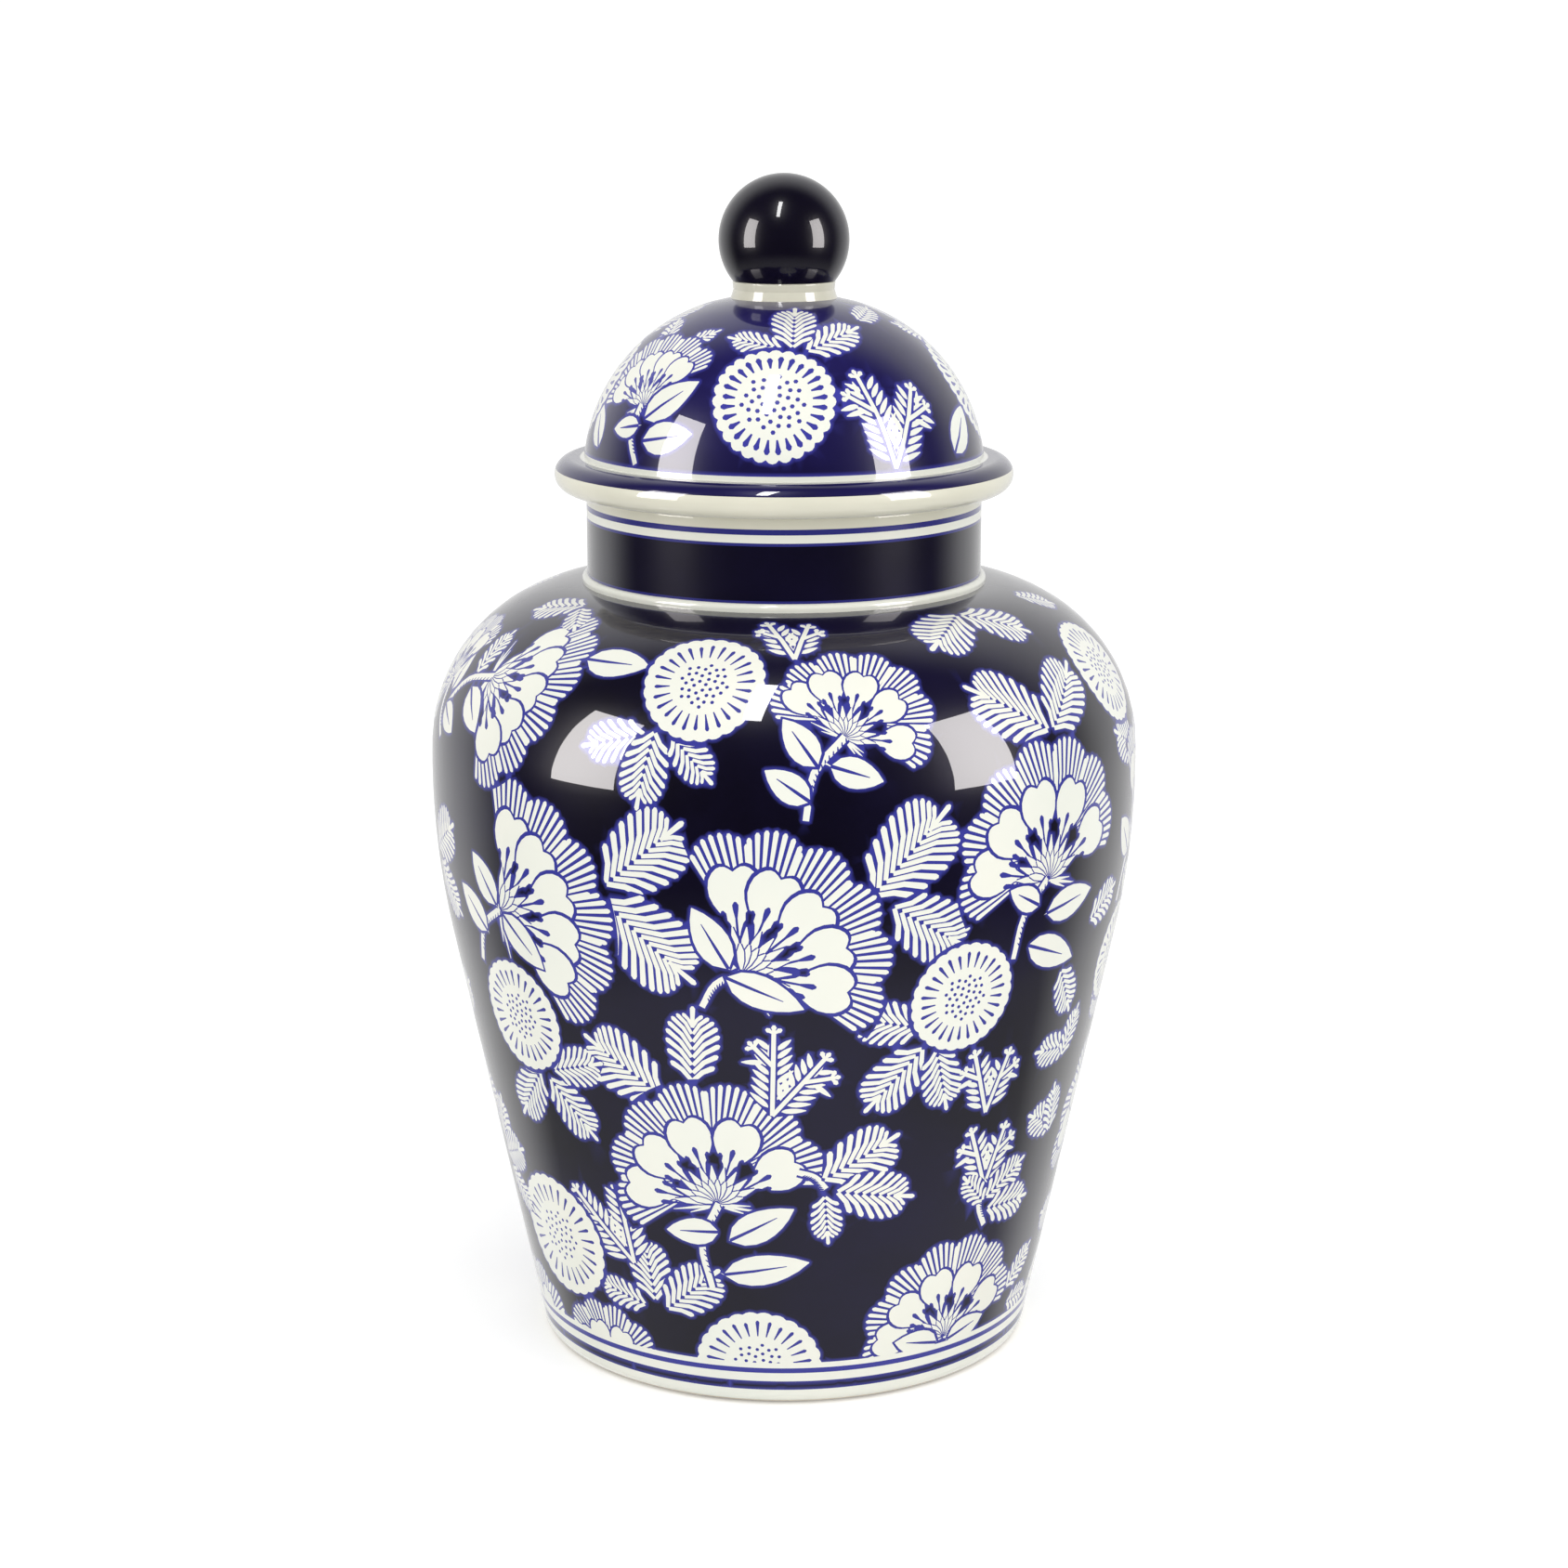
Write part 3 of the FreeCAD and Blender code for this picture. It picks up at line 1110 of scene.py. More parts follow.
        wash = [max(0.0, 1.0 - tree.find(self.lift(spot)[0])[2] / self.bleed) for spot in spots]
        return spots, cells, inks, wash


# ---------------------------------------------------------------- clay and glaze


class Clay:
    """Gathers the faces of one turned piece, then fires them into a mesh."""

    corner_shift = 0.0020
    chart = {Ink.COBALT: 0.04, Ink.WHITE: 0.40, Ink.BISCUIT: 0.60, Ink.CREAM_SHADED: 0.80}

    def __init__(self, steps: int, low: float, high: float) -> None:
        """Starts a piece.

        Args:
            steps: How many flats it has round it.
            low: Its lowest height.
            high: Its highest height.
        """
        self.steps = steps
        self.low = low
        self.tall = high - low
        self.places: list[tuple[float, float, float]] = []
        self.found: dict[tuple[int, int, int], int] = {}
        self.faces: list[list[int]] = []
        self.inks: list[Ink] = []
        self.normals: list[tuple[float, float, float]] = []
        self.wash: list[float] = []
        self.chart_spots: list[float] = []

    def corner(self, point: complex, angle: float) -> int:
        """The number of a corner, shared with every face that meets there.

        Args:
            point: Its place in the section.
            angle: Its angle round the axis.

        Returns:
            The corner's number.
        """
        place = (point.real * math.sin(angle), -point.real * math.cos(angle), point.imag)
        key = tuple(round(v * 1000 + 0.37) for v in place)
        if key not in self.found:
            self.found[key] = len(self.places)
            self.places.append(place)
        return self.found[key]

    def face(self, corners: Sequence[tuple[complex, float, complex, float]], ink: Ink) -> None:
        """Adds a face.

        Args:
            corners: Each corner's place in the section, angle, normal in the section and thinness.
            ink: The face's colour.
        """
        numbers: list[int] = []
        for k, (point, angle, normal, wash) in enumerate(corners):
            number = self.corner(point, angle)
            if number in numbers:
                continue
            numbers.append(number)
            self.normals.append(
                (normal.real * math.sin(angle), -normal.real * math.cos(angle), normal.imag)
            )
            self.wash.append(wash)
            u = self.chart[ink] + 0.12 * wash + self.corner_shift * (k in (1, 2))
            v = 0.02 + 0.95 * (point.imag - self.low) / self.tall + self.corner_shift * (k > 1)
            self.chart_spots += [u, v]
        if len(numbers) < 3:
            spare = len(numbers)
            del self.normals[-spare:], self.wash[-spare:], self.chart_spots[-2 * spare :]
            return
        self.faces.append(numbers)
        self.inks.append(ink)

    def turn(self, runs: Sequence[Run]) -> None:
        """Turns some runs round the axis.

        Args:
            runs: The runs, with the clay to their left.
        """
        angles = [math.tau * i / self.steps - math.pi for i in range(self.steps + 1)]
        for run in runs:
            rows = run.rows()
            for (p0, n0), (p1, n1) in zip(rows, rows[1:]):
                for a0, a1 in zip(angles, angles[1:]):
                    ring = [(p0, a0, n0), (p0, a1, n0), (p1, a1, n1), (p1, a0, n1)]
                    self.face([(p, a, n, run.wash) for p, a, n in ring], run.ink)

    def wrap(self, sheet: Sheet) -> None:
        """Wraps a decorated sheet round the piece.

        Args:
            sheet: The sheet.
        """
        spots, cells, inks, wash = sheet.finish()
        lifted = [sheet.lift(spot)[1:] for spot in spots]
        for cell, ink in zip(cells, inks):
            corners = [(lifted[i][0], spots[i].real / sheet.radius, lifted[i][1], wash[i]) for i in cell]
            self.face(corners, ink)

    def fire(self, name: str, cobalt: "Glaze") -> bpy.types.Object:
        """Makes the mesh, with a material for each ink on it.

        Args:
            name: The piece's name.
            cobalt: The blue glaze that this piece takes.

        Returns:
            The piece, in metres.
        """
        mesh = bpy.data.meshes.new(name)
        mesh.from_pydata([[v * MM for v in place] for place in self.places], [], self.faces)
        glazes = {Ink.COBALT: cobalt, Ink.WHITE: WHITE_GLAZE, Ink.BISCUIT: BISCUIT, Ink.CREAM_SHADED: SHADED_CREAM_GLAZE}
        used = sorted(set(self.inks), key=lambda ink: ink.value)
        for ink in used:
            mesh.materials.append(glazes[ink].material())
        mesh.polygons.foreach_set("material_index", [used.index(ink) for ink in self.inks])
        mesh.polygons.foreach_set("use_smooth", [True] * len(self.faces))
        thin = mesh.attributes.new("wash", "FLOAT", "CORNER")
        thin.data.foreach_set("value", self.wash)
        chart = mesh.uv_layers.new(name="OFBake")
        chart.data.foreach_set("uv", self.chart_spots)
        mesh.normals_split_custom_set(self.normals)
        mesh.update()
        piece = bpy.data.objects.new(name, mesh)
        bpy.context.scene.collection.objects.link(piece)
        return piece


def linear(red: int, green: int, blue: int) -> tuple[float, float, float, float]:
    """A screen colour as the shader's own numbers.

    Args:
        red: From 0 to 255.
        green: From 0 to 255.
        blue: From 0 to 255.

    Returns:
        The colour with full cover.
    """
    parts = [c / 255 for c in (red, green, blue)]
    shades = [c / 12.92 if c <= 0.04045 else ((c + 0.055) / 1.055) ** 2.4 for c in parts]
    return (shades[0], shades[1], shades[2], 1.0)


@dataclass(frozen=True)
class Glaze:
    """A fired finish: two shades that drift into each other, a thin-run shade, and a clear coat."""

    name: str
    deep: tuple[int, int, int]
    light: tuple[int, int, int]
    thin: tuple[int, int, int] | None = None
    drift_scale: float = 16.0
    rough: tuple[float, float] = (0.24, 0.36)
    coat: float = 1.0
    coat_rough: float = 0.015
    coat_ior: float = 1.5
    specular: float = 0.12
    drift_detail: float = 4.0
    drift_span: tuple[float, float] = (0.34, 0.68)
    pitting: float = 0.05
    pit_scale: float = 34.0
    pit_detail: float = 1.5
    pit_depth: float = 0.002

    def material(self) -> bpy.types.Material:
        """Builds the material, or finds it if another piece already wears it.

        Returns:
            The material, named for the finish.
        """
        if self.name in bpy.data.materials:
            return bpy.data.materials[self.name]
        material = bpy.data.materials.new(self.name)
        material.use_nodes = True
        nodes, links = material.node_tree.nodes, material.node_tree.links
        shader = nodes["Principled BSDF"]
        shader.inputs["Coat Weight"].default_value = self.coat
        shader.inputs["Coat Roughness"].default_value = self.coat_rough
        shader.inputs["Coat IOR"].default_value = self.coat_ior
        shader.inputs["Specular IOR Level"].default_value = self.specular
        where = nodes.new("ShaderNodeTexCoord")
        drift = nodes.new("ShaderNodeTexNoise")
        drift.inputs["Scale"].default_value = self.drift_scale
        drift.inputs["Detail"].default_value = self.drift_detail
        links.new(where.outputs["Object"], drift.inputs["Vector"])
        ramp = nodes.new("ShaderNodeValToRGB")
        stops = ramp.color_ramp.elements
        for stop, position, shade in zip(stops, self.drift_span, (self.deep, self.light)):
            stop.position = position
            stop.color = linear(*shade)
        links.new(drift.outputs["Fac"], ramp.inputs["Fac"])
        colour = ramp.outputs["Color"]
        if self.thin is not None:
            wash = nodes.new("ShaderNodeAttribute")
            wash.attribute_name = "wash"
            run = nodes.new("ShaderNodeMix")
            run.data_type = "RGBA"
            run.inputs["B"].default_value = linear(*self.thin)
            links.new(wash.outputs["Fac"], run.inputs["Factor"])
            links.new(colour, run.inputs["A"])
            colour = run.outputs["Result"]
        links.new(colour, shader.inputs["Base Color"])
        spread = nodes.new("ShaderNodeMapRange")
        spread.inputs["To Min"].default_value = self.rough[0]
        spread.inputs["To Max"].default_value = self.rough[1]
        links.new(drift.outputs["Fac"], spread.inputs["Value"])
        links.new(spread.outputs["Result"], shader.inputs["Roughness"])
        pits = nodes.new("ShaderNodeTexNoise")
        pits.inputs["Scale"].default_value = self.pit_scale
        pits.inputs["Detail"].default_value = self.pit_detail
        links.new(where.outputs["Object"], pits.inputs["Vector"])
        bump = nodes.new("ShaderNodeBump")
        bump.inputs["Strength"].default_value = self.pitting
        bump.inputs["Distance"].default_value = self.pit_depth
        links.new(pits.outputs["Fac"], bump.inputs["Height"])
        links.new(bump.outputs["Normal"], shader.inputs["Normal"])
        links.new(bump.outputs["Normal"], shader.inputs["Coat Normal"])
        return material


WHITE_GLAZE = Glaze("white_glaze", (225, 227, 217), (233, 232, 220))
# Creamy white, darker than the white glaze as painted shade. It goes on the lip and the flange's underside
# under the lid, and on the collar under the ball.
SHADED_CREAM_GLAZE = Glaze("shaded_cream_glaze", (208, 206, 189), (217, 214, 197))
GROUND_COBALT = Glaze("cobalt_ground", (8, 5, 20), (16, 11, 43), thin=(52, 54, 144))
LID_COBALT = Glaze("cobalt_lid_ground", (17, 12, 54), (29, 23, 86), thin=(56, 56, 150))
KNOB_COBALT = Glaze("cobalt_knob", (9, 6, 20), (15, 10, 30), drift_scale=30.0, coat=0.7)
BISCUIT = Glaze("biscuit", (196, 188, 172), (212, 205, 190), rough=(0.7, 0.9), coat=0.0, pit_scale=260.0)


# ---------------------------------------------------------------- the pieces


def settle(piece: bpy.types.Object, node: str, body: str) -> bpy.types.Object:
    """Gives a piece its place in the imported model.

    Args:
        piece: The piece.
        node: The solid that it stands for.
        body: The body that it moves with.

    Returns:
        The piece.
    """
    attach(piece, body)
    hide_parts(node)
    log.info("%s: %d faces, %d corners", piece.name, len(piece.data.polygons), len(piece.data.vertices))
    return piece


@dataclass
class JarBody:
    """The body: foot ring, decorated wall, bead, banded neck and plain inside. Millimetres."""

    node: str = "jar_body"
    steps: int = 180
    belly_height: float = 167.0
    belly_arc: float = 229.0
    shoulder_arc: float = 46.5
    shoulder_height: float = 219.7
    foot_radius: float = 71.0
    foot_edge: float = 4.0
    foot_ring_width: float = 10.0
    foot_ring_round: float = 1.5
    foot_recess: float = 4.0
    floor_height: float = 11.0
    floor_round: float = 14.0
    wall: float = 5.0
    neck_radius: float = 55.4
    neck_wall: float = 5.0
    bead: float = 1.4
    bead_height: float = 221.8
    lip_round: float = 1.2
    bead_line: float = 0.7
    neck_stripes: tuple[tuple[float, Ink, float], ...] = (
        (237.2, Ink.COBALT, 0.0),
        (238.0, Ink.COBALT, 0.7),
        (240.2, Ink.WHITE, 0.0),
        (241.7, Ink.COBALT, 0.7),
    )
    foot_bands: tuple[tuple[float, float, Ink], ...] = (
        (0.0, 10.4, Ink.WHITE),
        (1.6, 4.4, Ink.COBALT),
        (7.1, 8.7, Ink.COBALT),
    )
    daisy: Medallion = Medallion()

    def __post_init__(self) -> None:
        """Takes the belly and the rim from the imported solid."""
        low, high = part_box(self.node)
        self.belly_radius = high[0] / MM
        self.rim_height = high[2] / MM
        self.low = low[2] / MM
        self.belly_centre = complex(self.belly_radius - self.belly_arc, self.belly_height)
        self.foot_centre = complex(self.foot_radius - self.foot_edge, self.foot_edge)
        span = self.foot_centre - self.belly_centre
        lean = math.acos((self.belly_arc - self.foot_edge) / abs(span))
        self.wall_angle = cmath.phase(span) + lean
        rise = self.shoulder_height - self.shoulder_arc - self.belly_height
        reach = self.belly_arc - self.shoulder_arc
        self.join_angle = math.asin(rise / reach)
        self.shoulder_centre = self.belly_centre + cmath.rect(reach, self.join_angle)
        bead_gap = self.neck_radius + self.bead - self.shoulder_centre.real
        self.shoulder_end = math.acos(bead_gap / self.shoulder_arc)

    def outer_wall(self) -> Wall:
        """The decorated wall from the foot's edge up to the bead.

        Returns:
            The wall.
        """
        foot = self.foot_centre + cmath.rect(self.foot_edge, self.wall_angle)
        tangent = self.belly_centre + cmath.rect(self.belly_arc, self.wall_angle)
        belly = (self.belly_centre, self.belly_arc, self.wall_angle, self.join_angle)
        shoulder = (self.shoulder_centre, self.shoulder_arc, self.join_angle, self.shoulder_end)
        return Wall([
            Run(Ink.WHITE, foot, tangent),
            Run.arc(Ink.WHITE, *belly),
            Run.arc(Ink.WHITE, *shoulder),
        ])

    def foot(self) -> list[Run]:
        """The recess, the bare flat of the foot ring and its glazed edge.

        Returns:
            The runs in order.
        """
        inner = self.foot_radius - self.foot_ring_width
        bend = self.foot_ring_round
        ring = complex(inner + bend, bend)
        quarter = math.pi / 2
        runs = polyline(
            Ink.WHITE, complex(0, self.foot_recess), complex(inner, self.foot_recess), complex(inner, bend)
        )
        runs.append(Run.arc(Ink.BISCUIT, ring, bend, 2 * quarter, 3 * quarter))
        runs.append(Run(Ink.BISCUIT, ring - 1j * bend, complex(self.foot_centre.real, 0)))
        middle = -quarter / 2
        runs.append(Run.arc(Ink.BISCUIT, self.foot_centre, self.foot_edge, -quarter, middle))
        runs.append(Run.arc(Ink.WHITE, self.foot_centre, self.foot_edge, middle, self.wall_angle))
        return runs

    def neck(self) -> list[Run]:
        """The white bead, the banded neck and the rounded lip.

        Returns:
            The runs in order.
        """
        bead_foot = complex(self.neck_radius + self.bead, self.outer_wall().at(math.inf)[0].imag)
        bead_centre = complex(self.neck_radius, self.bead_height - self.bead)
        quarter = math.pi / 2
        lip = self.rim_height - self.lip_round
        outer = complex(self.neck_radius, self.bead_height)
        inner = self.neck_radius - self.neck_wall
        runs = [Run(Ink.WHITE, bead_foot, bead_centre + self.bead)]
        runs.append(Run.arc(Ink.WHITE, bead_centre, self.bead, 0.0, quarter))
        # The top stripe and the rounded lip sit under the lid's flange and take the cream glaze, which is
        # darkened there as painted shade.
        runs += stripes(
            outer,
            complex(self.neck_radius, lip),
            (self.bead_height + self.bead_line, Ink.COBALT, 0.6),
            *self.neck_stripes,
            (lip, Ink.CREAM_SHADED, 0.0),
        )
        outer_lip = complex(self.neck_radius - self.lip_round, lip)
        inner_lip = complex(inner + self.lip_round, lip)
        runs.append(Run.arc(Ink.CREAM_SHADED, outer_lip, self.lip_round, 0.0, quarter))
        runs.append(Run(Ink.CREAM_SHADED, outer_lip + 1j * self.lip_round, inner_lip + 1j * self.lip_round))
        runs.append(Run.arc(Ink.CREAM_SHADED, inner_lip, self.lip_round, quarter, 2 * quarter))
        return runs

    def inside(self) -> list[Run]:
        """The plain glazed inside, from the lip down to the middle of the floor.

        Returns:
            The runs in order.
        """
        bore = self.neck_radius - self.neck_wall
        hollow = self.shoulder_arc - self.wall
        bore_angle = math.acos((bore - self.shoulder_centre.real) / hollow)
        bore_foot = self.shoulder_centre + cmath.rect(hollow, bore_angle)
        belly = self.belly_arc - self.wall
        normal = cmath.rect(1.0, self.wall_angle)
        tangent = self.belly_centre + belly * normal
        depth = (tangent * normal.conjugate()).real - self.floor_round
        centre_height = self.floor_height + self.floor_round
        corner = complex((depth - normal.imag * centre_height) / normal.real, centre_height)
        return [
            Run(Ink.WHITE, complex(bore, self.rim_height - self.lip_round), bore_foot),
            Run.arc(Ink.WHITE, self.shoulder_centre, hollow, bore_angle, self.join_angle),
            Run.arc(Ink.WHITE, self.belly_centre, belly, self.join_angle, self.wall_angle),
            Run(Ink.WHITE, tangent, corner + self.floor_round * normal),
            Run.arc(Ink.WHITE, corner, self.floor_round, self.wall_angle, -math.pi / 2),
            Run(Ink.WHITE, corner - 1j * self.floor_round, complex(0, self.floor_height)),
        ]

    def decoration(self) -> Sheet:
        """Paints the outside.

        Returns:
            The painted sheet.
        """
        sheet = Sheet(self.outer_wall(), self.belly_radius, self.steps)
        sheet.grow(BODY_GROWTH, BODY_DISCS, self.daisy)
        for low, high, ink in self.foot_bands:
            sheet.band(low, high, ink)
        return sheet

    def build(self) -> bpy.types.Object:
        """Makes and dresses the body.

        Returns:
            The piece.
        """
        clay = Clay(self.steps, self.low, self.rim_height)
        clay.turn(self.foot() + self.neck() + self.inside())
        clay.wrap(self.decoration())
        return settle(clay.fire("painted_jar_body", GROUND_COBALT), self.node, "jar")


@dataclass
class Lid:
    """The lid: a dome on a round-edged flange, with a ring below that finds the neck. Millimetres."""

    node: str = "lid_shell"
    steps: int = 180
    dome_centre: complex = 6.573 + 249.2j
    dome_arc: float = 49.6
    lid_wall: float = 4.5
    flange_round: float = 4.6
    dome_foot: float = 55.9
    ring_inner: float = 45.0
    ring_outer: float = 49.0
    ring_round: float = 1.0
    ring_depth: float = 9.0
    hollow_foot: float = 51.37
    line_edge: float = 57.0
    sheet_radius: float = 50.0
    foot_line: float = 1.4
    blue_from: float = 22.0
    daisy: Medallion = Medallion(
        slots=28,
        slot_root=0.62,
        slot_tip=0.86,
        slot_half=0.85,
        dots_edge=0.52,
        dots=40,
        dot=0.68,
        scallop=0.06,
    )

    def __post_init__(self) -> None:
        """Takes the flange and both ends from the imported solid."""
        low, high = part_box(self.node)
        self.low = low[2] / MM
        self.seat = high[2] / MM
        self.flange_radius = high[0] / MM
        self.flange_foot = self.low + self.ring_depth
        self.flange_top = self.flange_foot + 2 * self.flange_round

    def dome(self) -> Wall:
        """The decorated dome from the flange up to the collar.

        Returns:
            The wall.
        """
        first = math.acos((self.dome_foot - self.dome_centre.real) / self.dome_arc)
        last = math.asin((self.seat - self.dome_centre.imag) / self.dome_arc)
        return Wall([Run.arc(Ink.WHITE, self.dome_centre, self.dome_arc, first, last)])

    def under(self) -> list[Run]:
        """The hollow, the locating ring and the flange's underside.

        Returns:
            The runs in order.
        """
        hollow = self.dome_arc - self.lid_wall
        top = self.seat - self.lid_wall
        high = math.asin((top - self.dome_centre.imag) / hollow)
        low = math.acos((self.hollow_foot - self.dome_centre.real) / hollow)
        bend, half_turn = self.ring_round, math.pi
        inner, outer = complex(self.ring_inner, self.low), complex(self.ring_outer, self.low)
        step = complex(self.ring_inner, self.flange_foot)
        foot = self.dome_centre + cmath.rect(hollow, low)
        runs = [Run(Ink.WHITE, complex(0, top), self.dome_centre + cmath.rect(hollow, high))]
        runs.append(Run.arc(Ink.WHITE, self.dome_centre, hollow, high, low))
        runs += polyline(Ink.WHITE, foot, step, inner + bend * UP)
        runs.append(Run.arc(Ink.WHITE, inner + bend * (1 + 1j), bend, half_turn, 1.5 * half_turn))
        runs.append(Run(Ink.WHITE, inner + bend, outer - bend))
        runs.append(Run.arc(Ink.WHITE, outer + bend * (1j - 1), bend, -half_turn / 2, 0.0))
        edge = complex(self.flange_radius - self.flange_round, self.flange_foot)
        # The flange's underside takes the cream glaze: a creamy tone darkened as painted shade under the
        # flange.
        runs += polyline(Ink.CREAM_SHADED, outer + bend * UP, complex(self.ring_outer, self.flange_foot), edge)
        return runs

    def flange(self) -> list[Run]:
        """The flange's white rounded edge, its blue band and the white line at the dome's foot.

        Returns:
            The runs in order.
        """
        centre = complex(self.flange_radius - self.flange_round, self.flange_foot + self.flange_round)
        turn = math.radians(self.blue_from)
        quarter = math.pi / 2
        top = centre + self.flange_round * UP
        line = complex(self.line_edge, self.flange_top)
        return [
            # The lower part of the rounded edge takes the cream glaze: a creamy tone darkened as painted
            # shade.
            Run.arc(Ink.CREAM_SHADED, centre, self.flange_round, -quarter, turn),
            Run.arc(Ink.COBALT, centre, self.flange_round, turn, quarter),
            Run(Ink.COBALT, top, line),
            Run(Ink.WHITE, line, complex(self.dome_foot, self.flange_top)),
        ]

    def decoration(self) -> Sheet:
        """Paints the dome.

        Returns:
            The painted sheet.
        """
        sheet = Sheet(self.dome(), self.sheet_radius, self.steps)
        sheet.grow(LID_GROWTH, LID_DISCS, self.daisy)
        sheet.band(0.0, self.foot_line, Ink.WHITE)
        return sheet

    def build(self) -> bpy.types.Object:
        """Makes and dresses the lid.

        Returns:
            The piece.
        """
        clay = Clay(self.steps, self.low, self.seat)
        seat_edge = self.dome().at(math.inf)[0]
        clay.turn(self.under() + self.flange() + [Run(Ink.WHITE, seat_edge, complex(0, self.seat))])
        clay.wrap(self.decoration())
        return settle(clay.fire("painted_lid_dome", LID_COBALT), self.node, "lid")


@dataclass
class Knob:
    """The lid's white collar and the ball above it. Millimetres."""

    collar_node: str = "knob_collar"
    ball_node: str = "lid_knob"
    steps: int = 96
    ball_rows: int = 40
    collar_top_radius: float = 14.3
    waist_nip: float = 0.25
    edge: float = 0.5

    def collar(self) -> bpy.types.Object:
        """Makes the collar.

        Returns:
            The piece.
        """
        low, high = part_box(self.collar_node)
        foot, top, wide = low[2] / MM, high[2] / MM, high[0] / MM
        clay = Clay(self.steps, foot, top)
        shoulder = complex(self.collar_top_radius - self.edge, top - self.edge)
        waist = complex(self.collar_top_radius - self.waist_nip, (foot + top) / 2)
        # The collar sits under the ball and takes the cream glaze: a creamy tone darkened as painted
        # shade.
        side = polyline(Ink.CREAM_SHADED, complex(0, foot), complex(wide, foot), waist, shoulder + self.edge)
        bend = Run.arc(Ink.CREAM_SHADED, shoulder, self.edge, 0.0, math.pi / 2)
        clay.turn([*side, bend, Run(Ink.CREAM_SHADED, shoulder + self.edge * UP, complex(0, top))])
        return settle(clay.fire("white_knob_collar", GROUND_COBALT), self.collar_node, "lid")

    def ball(self) -> bpy.types.Object:
        """Makes the ball.

        Returns:
            The piece.
        """
        low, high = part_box(self.ball_node)
        radius, foot = high[0] / MM, low[2] / MM
        centre = complex(0, high[2] / MM - radius)
        cut = math.asin((foot - centre.imag) / radius)
        clay = Clay(self.steps, foot, high[2] / MM)
        rim = centre + cmath.rect(radius, cut)
        clay.turn([Run(Ink.COBALT, complex(0, foot), complex(rim.real, foot))])
        row = (math.pi / 2 - cut) / self.ball_rows
        angles = [cut + row * i for i in range(self.ball_rows + 1)]
        for a, b in zip(angles, angles[1:]):
            clay.turn([Run.arc(Ink.COBALT, centre, radius, a, b)])
        return settle(clay.fire("cobalt_ball_knob", KNOB_COBALT), self.ball_node, "lid")


# ---------------------------------------------------------------- the studio


@dataclass(frozen=True)
class Softbox:
    """A rectangular lamp, in metres and watts, seen in reflections, in the diffuse light, or in both."""

    name: str
    place: tuple[float, float, float]
    aim: tuple[float, float, float]
    size: tuple[float, float]
    power: float
    in_gloss: bool = True
    in_diffuse: bool = True
    tint: tuple[float, float, float] = (1.0, 1.0, 1.0)

    def hang(self) -> None:
        """Hangs the lamp."""
        lamp = bpy.data.lights.new(self.name, "AREA")
        lamp.shape = "RECTANGLE"
        lamp.size, lamp.size_y = self.size
        lamp.energy = self.power
        lamp.color = self.tint
        holder = bpy.data.objects.new(self.name, lamp)
        holder.location = self.place
        way = Vector(self.aim) - Vector(self.place)
        holder.rotation_euler = way.to_track_quat("-Z", "Y").to_euler()
        holder.visible_glossy = self.in_gloss
        holder.visible_diffuse = self.in_diffuse
        holder.visible_camera = False
        bpy.context.scene.collection.objects.link(holder)


SHOULDER = (0.0, 0.0, 0.19)
LAMPS: tuple[Softbox, ...] = (
    *(
        Softbox(
            name=f"softbox_{side}",
            place=(0.72 * side, -0.37, 0.49),
            aim=(0.0, 0.0, 0.49),
            size=(0.32, 0.64),
            power=8.6,
            in_diffuse=False,
            tint=(1.0, 0.96, 0.95),
        )
        for side in (-1, 1)
    ),
    Softbox("skylight", (-0.10, -0.44, 1.0), SHOULDER, (0.08, 0.42), 2.9, in_diffuse=False),
    Softbox("overhead", (0.3, -0.9, 1.6), SHOULDER, (1.2, 1.2), 7.0, in_gloss=False),
)


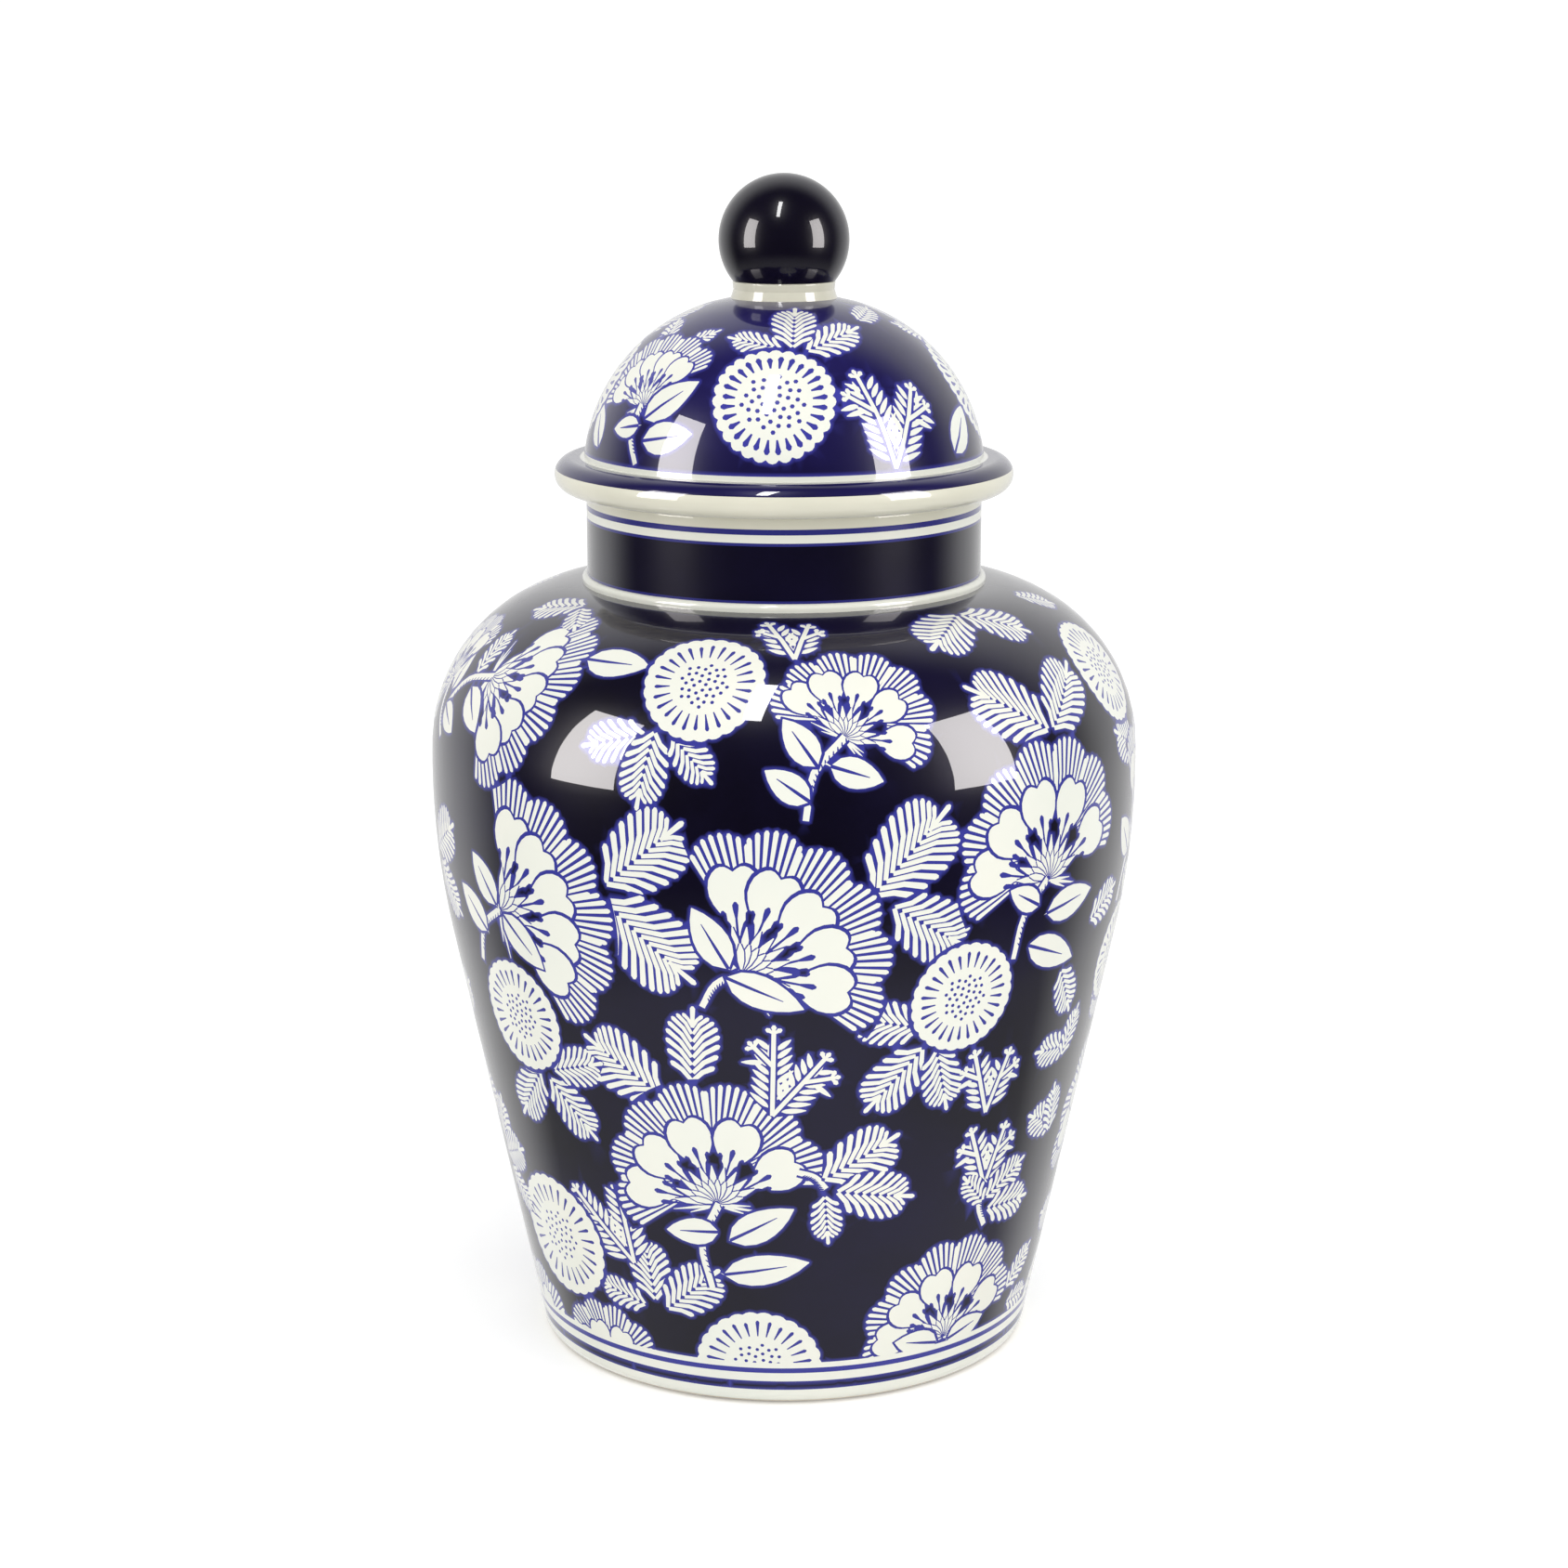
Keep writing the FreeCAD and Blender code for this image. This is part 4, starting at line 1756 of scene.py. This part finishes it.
@dataclass
class Studio:
    """Camera, pale floor, backdrop light and lamps."""

    floor_half: float = 12.0
    floor_drop: float = 0.0002
    floor_glow: float = 0.13
    floor_white: tuple[float, float, float, float] = (0.97, 0.97, 0.97, 1.0)
    camera_place: tuple[float, float, float] = (0.0, -0.91273, 0.37287)
    camera_dip: float = 0.2293
    lens: float = 75.13
    sensor: float = 36.0
    backdrop: float = 1.06
    dark_room: float = 0.004
    white_room: float = 0.85
    table_gloss: float = 0.5
    back_fall: tuple[float, float] = (0.05, 0.60)
    table_fall: tuple[float, float] = (-0.32, -0.70)

    def camera(self) -> None:
        """Sets up the camera."""
        data = bpy.data.cameras.new("camera")
        data.lens = self.lens
        data.sensor_width = self.sensor
        data.clip_start = 0.01
        camera = bpy.data.objects.new("camera", data)
        camera.location = self.camera_place
        camera.rotation_euler = (math.pi / 2 - self.camera_dip, 0.0, 0.0)
        bpy.context.scene.collection.objects.link(camera)
        bpy.context.scene.camera = camera

    def floor(self) -> None:
        """Lays the floor just under the foot ring."""
        half, below = self.floor_half, -self.floor_drop
        mesh = bpy.data.meshes.new("floor")
        corners = [(-half, -half), (half, -half), (half, half), (-half, half)]
        mesh.from_pydata([(x, y, below) for x, y in corners], [], [(0, 1, 2, 3)])
        material = bpy.data.materials.new("pale_floor")
        material.use_nodes = True
        shader = material.node_tree.nodes["Principled BSDF"]
        shader.inputs["Base Color"].default_value = self.floor_white
        shader.inputs["Roughness"].default_value = 0.9
        shader.inputs["Specular IOR Level"].default_value = 0.0
        shader.inputs["Emission Color"].default_value = (1.0, 1.0, 1.0, 1.0)
        shader.inputs["Emission Strength"].default_value = self.floor_glow
        mesh.materials.append(material)
        floor = bpy.data.objects.new("floor", mesh)
        floor.visible_glossy = False
        bpy.context.scene.collection.objects.link(floor)

    def room(self) -> None:
        """Lights the room: white behind the jar and dark on the camera's side, as gloss sees it."""
        world = bpy.data.worlds.new("room")
        bpy.context.scene.world = world
        world.use_nodes = True
        nodes, links = world.node_tree.nodes, world.node_tree.links
        ground = nodes["Background"]
        rays = nodes.new("ShaderNodeLightPath")
        where = nodes.new("ShaderNodeTexCoord")
        parts = nodes.new("ShaderNodeSeparateXYZ")
        links.new(where.outputs["Generated"], parts.inputs["Vector"])
        seen: list[bpy.types.NodeSocket] = []
        for axis, limits in (
            ("Y", (*self.back_fall, self.dark_room, self.white_room)),
            ("Z", (*self.table_fall, 0.0, self.table_gloss)),
        ):
            fall = nodes.new("ShaderNodeMapRange")
            fall.interpolation_type = "SMOOTHSTEP"
            for name, value in zip(("From Min", "From Max", "To Min", "To Max"), limits):
                fall.inputs[name].default_value = value
            links.new(parts.outputs[axis], fall.inputs["Value"])
            seen.append(fall.outputs["Result"])
        brighter = nodes.new("ShaderNodeMath")
        brighter.operation = "MAXIMUM"
        for socket, entry in zip(seen, brighter.inputs):
            links.new(socket, entry)
        strength = nodes.new("ShaderNodeMix")
        strength.inputs["A"].default_value = self.backdrop
        links.new(rays.outputs["Is Glossy Ray"], strength.inputs["Factor"])
        links.new(brighter.outputs["Value"], strength.inputs["B"])
        links.new(strength.outputs["Result"], ground.inputs["Strength"])
        ground.inputs["Color"].default_value = (1.0, 1.0, 1.0, 1.0)

    def build(self) -> None:
        """Sets everything up."""
        self.camera()
        self.floor()
        self.room()
        for lamp in LAMPS:
            lamp.hang()
        bpy.context.scene.view_settings.view_transform = "Standard"


def main() -> None:
    """Builds the jar and the studio, and logs how many faces and corners each piece has."""
    logging.basicConfig(level=logging.INFO, format="%(name)s %(message)s")
    JarBody().build()
    Lid().build()
    knob = Knob()
    knob.collar()
    knob.ball()
    Studio().build()


if __name__ == "__main__":
    main()
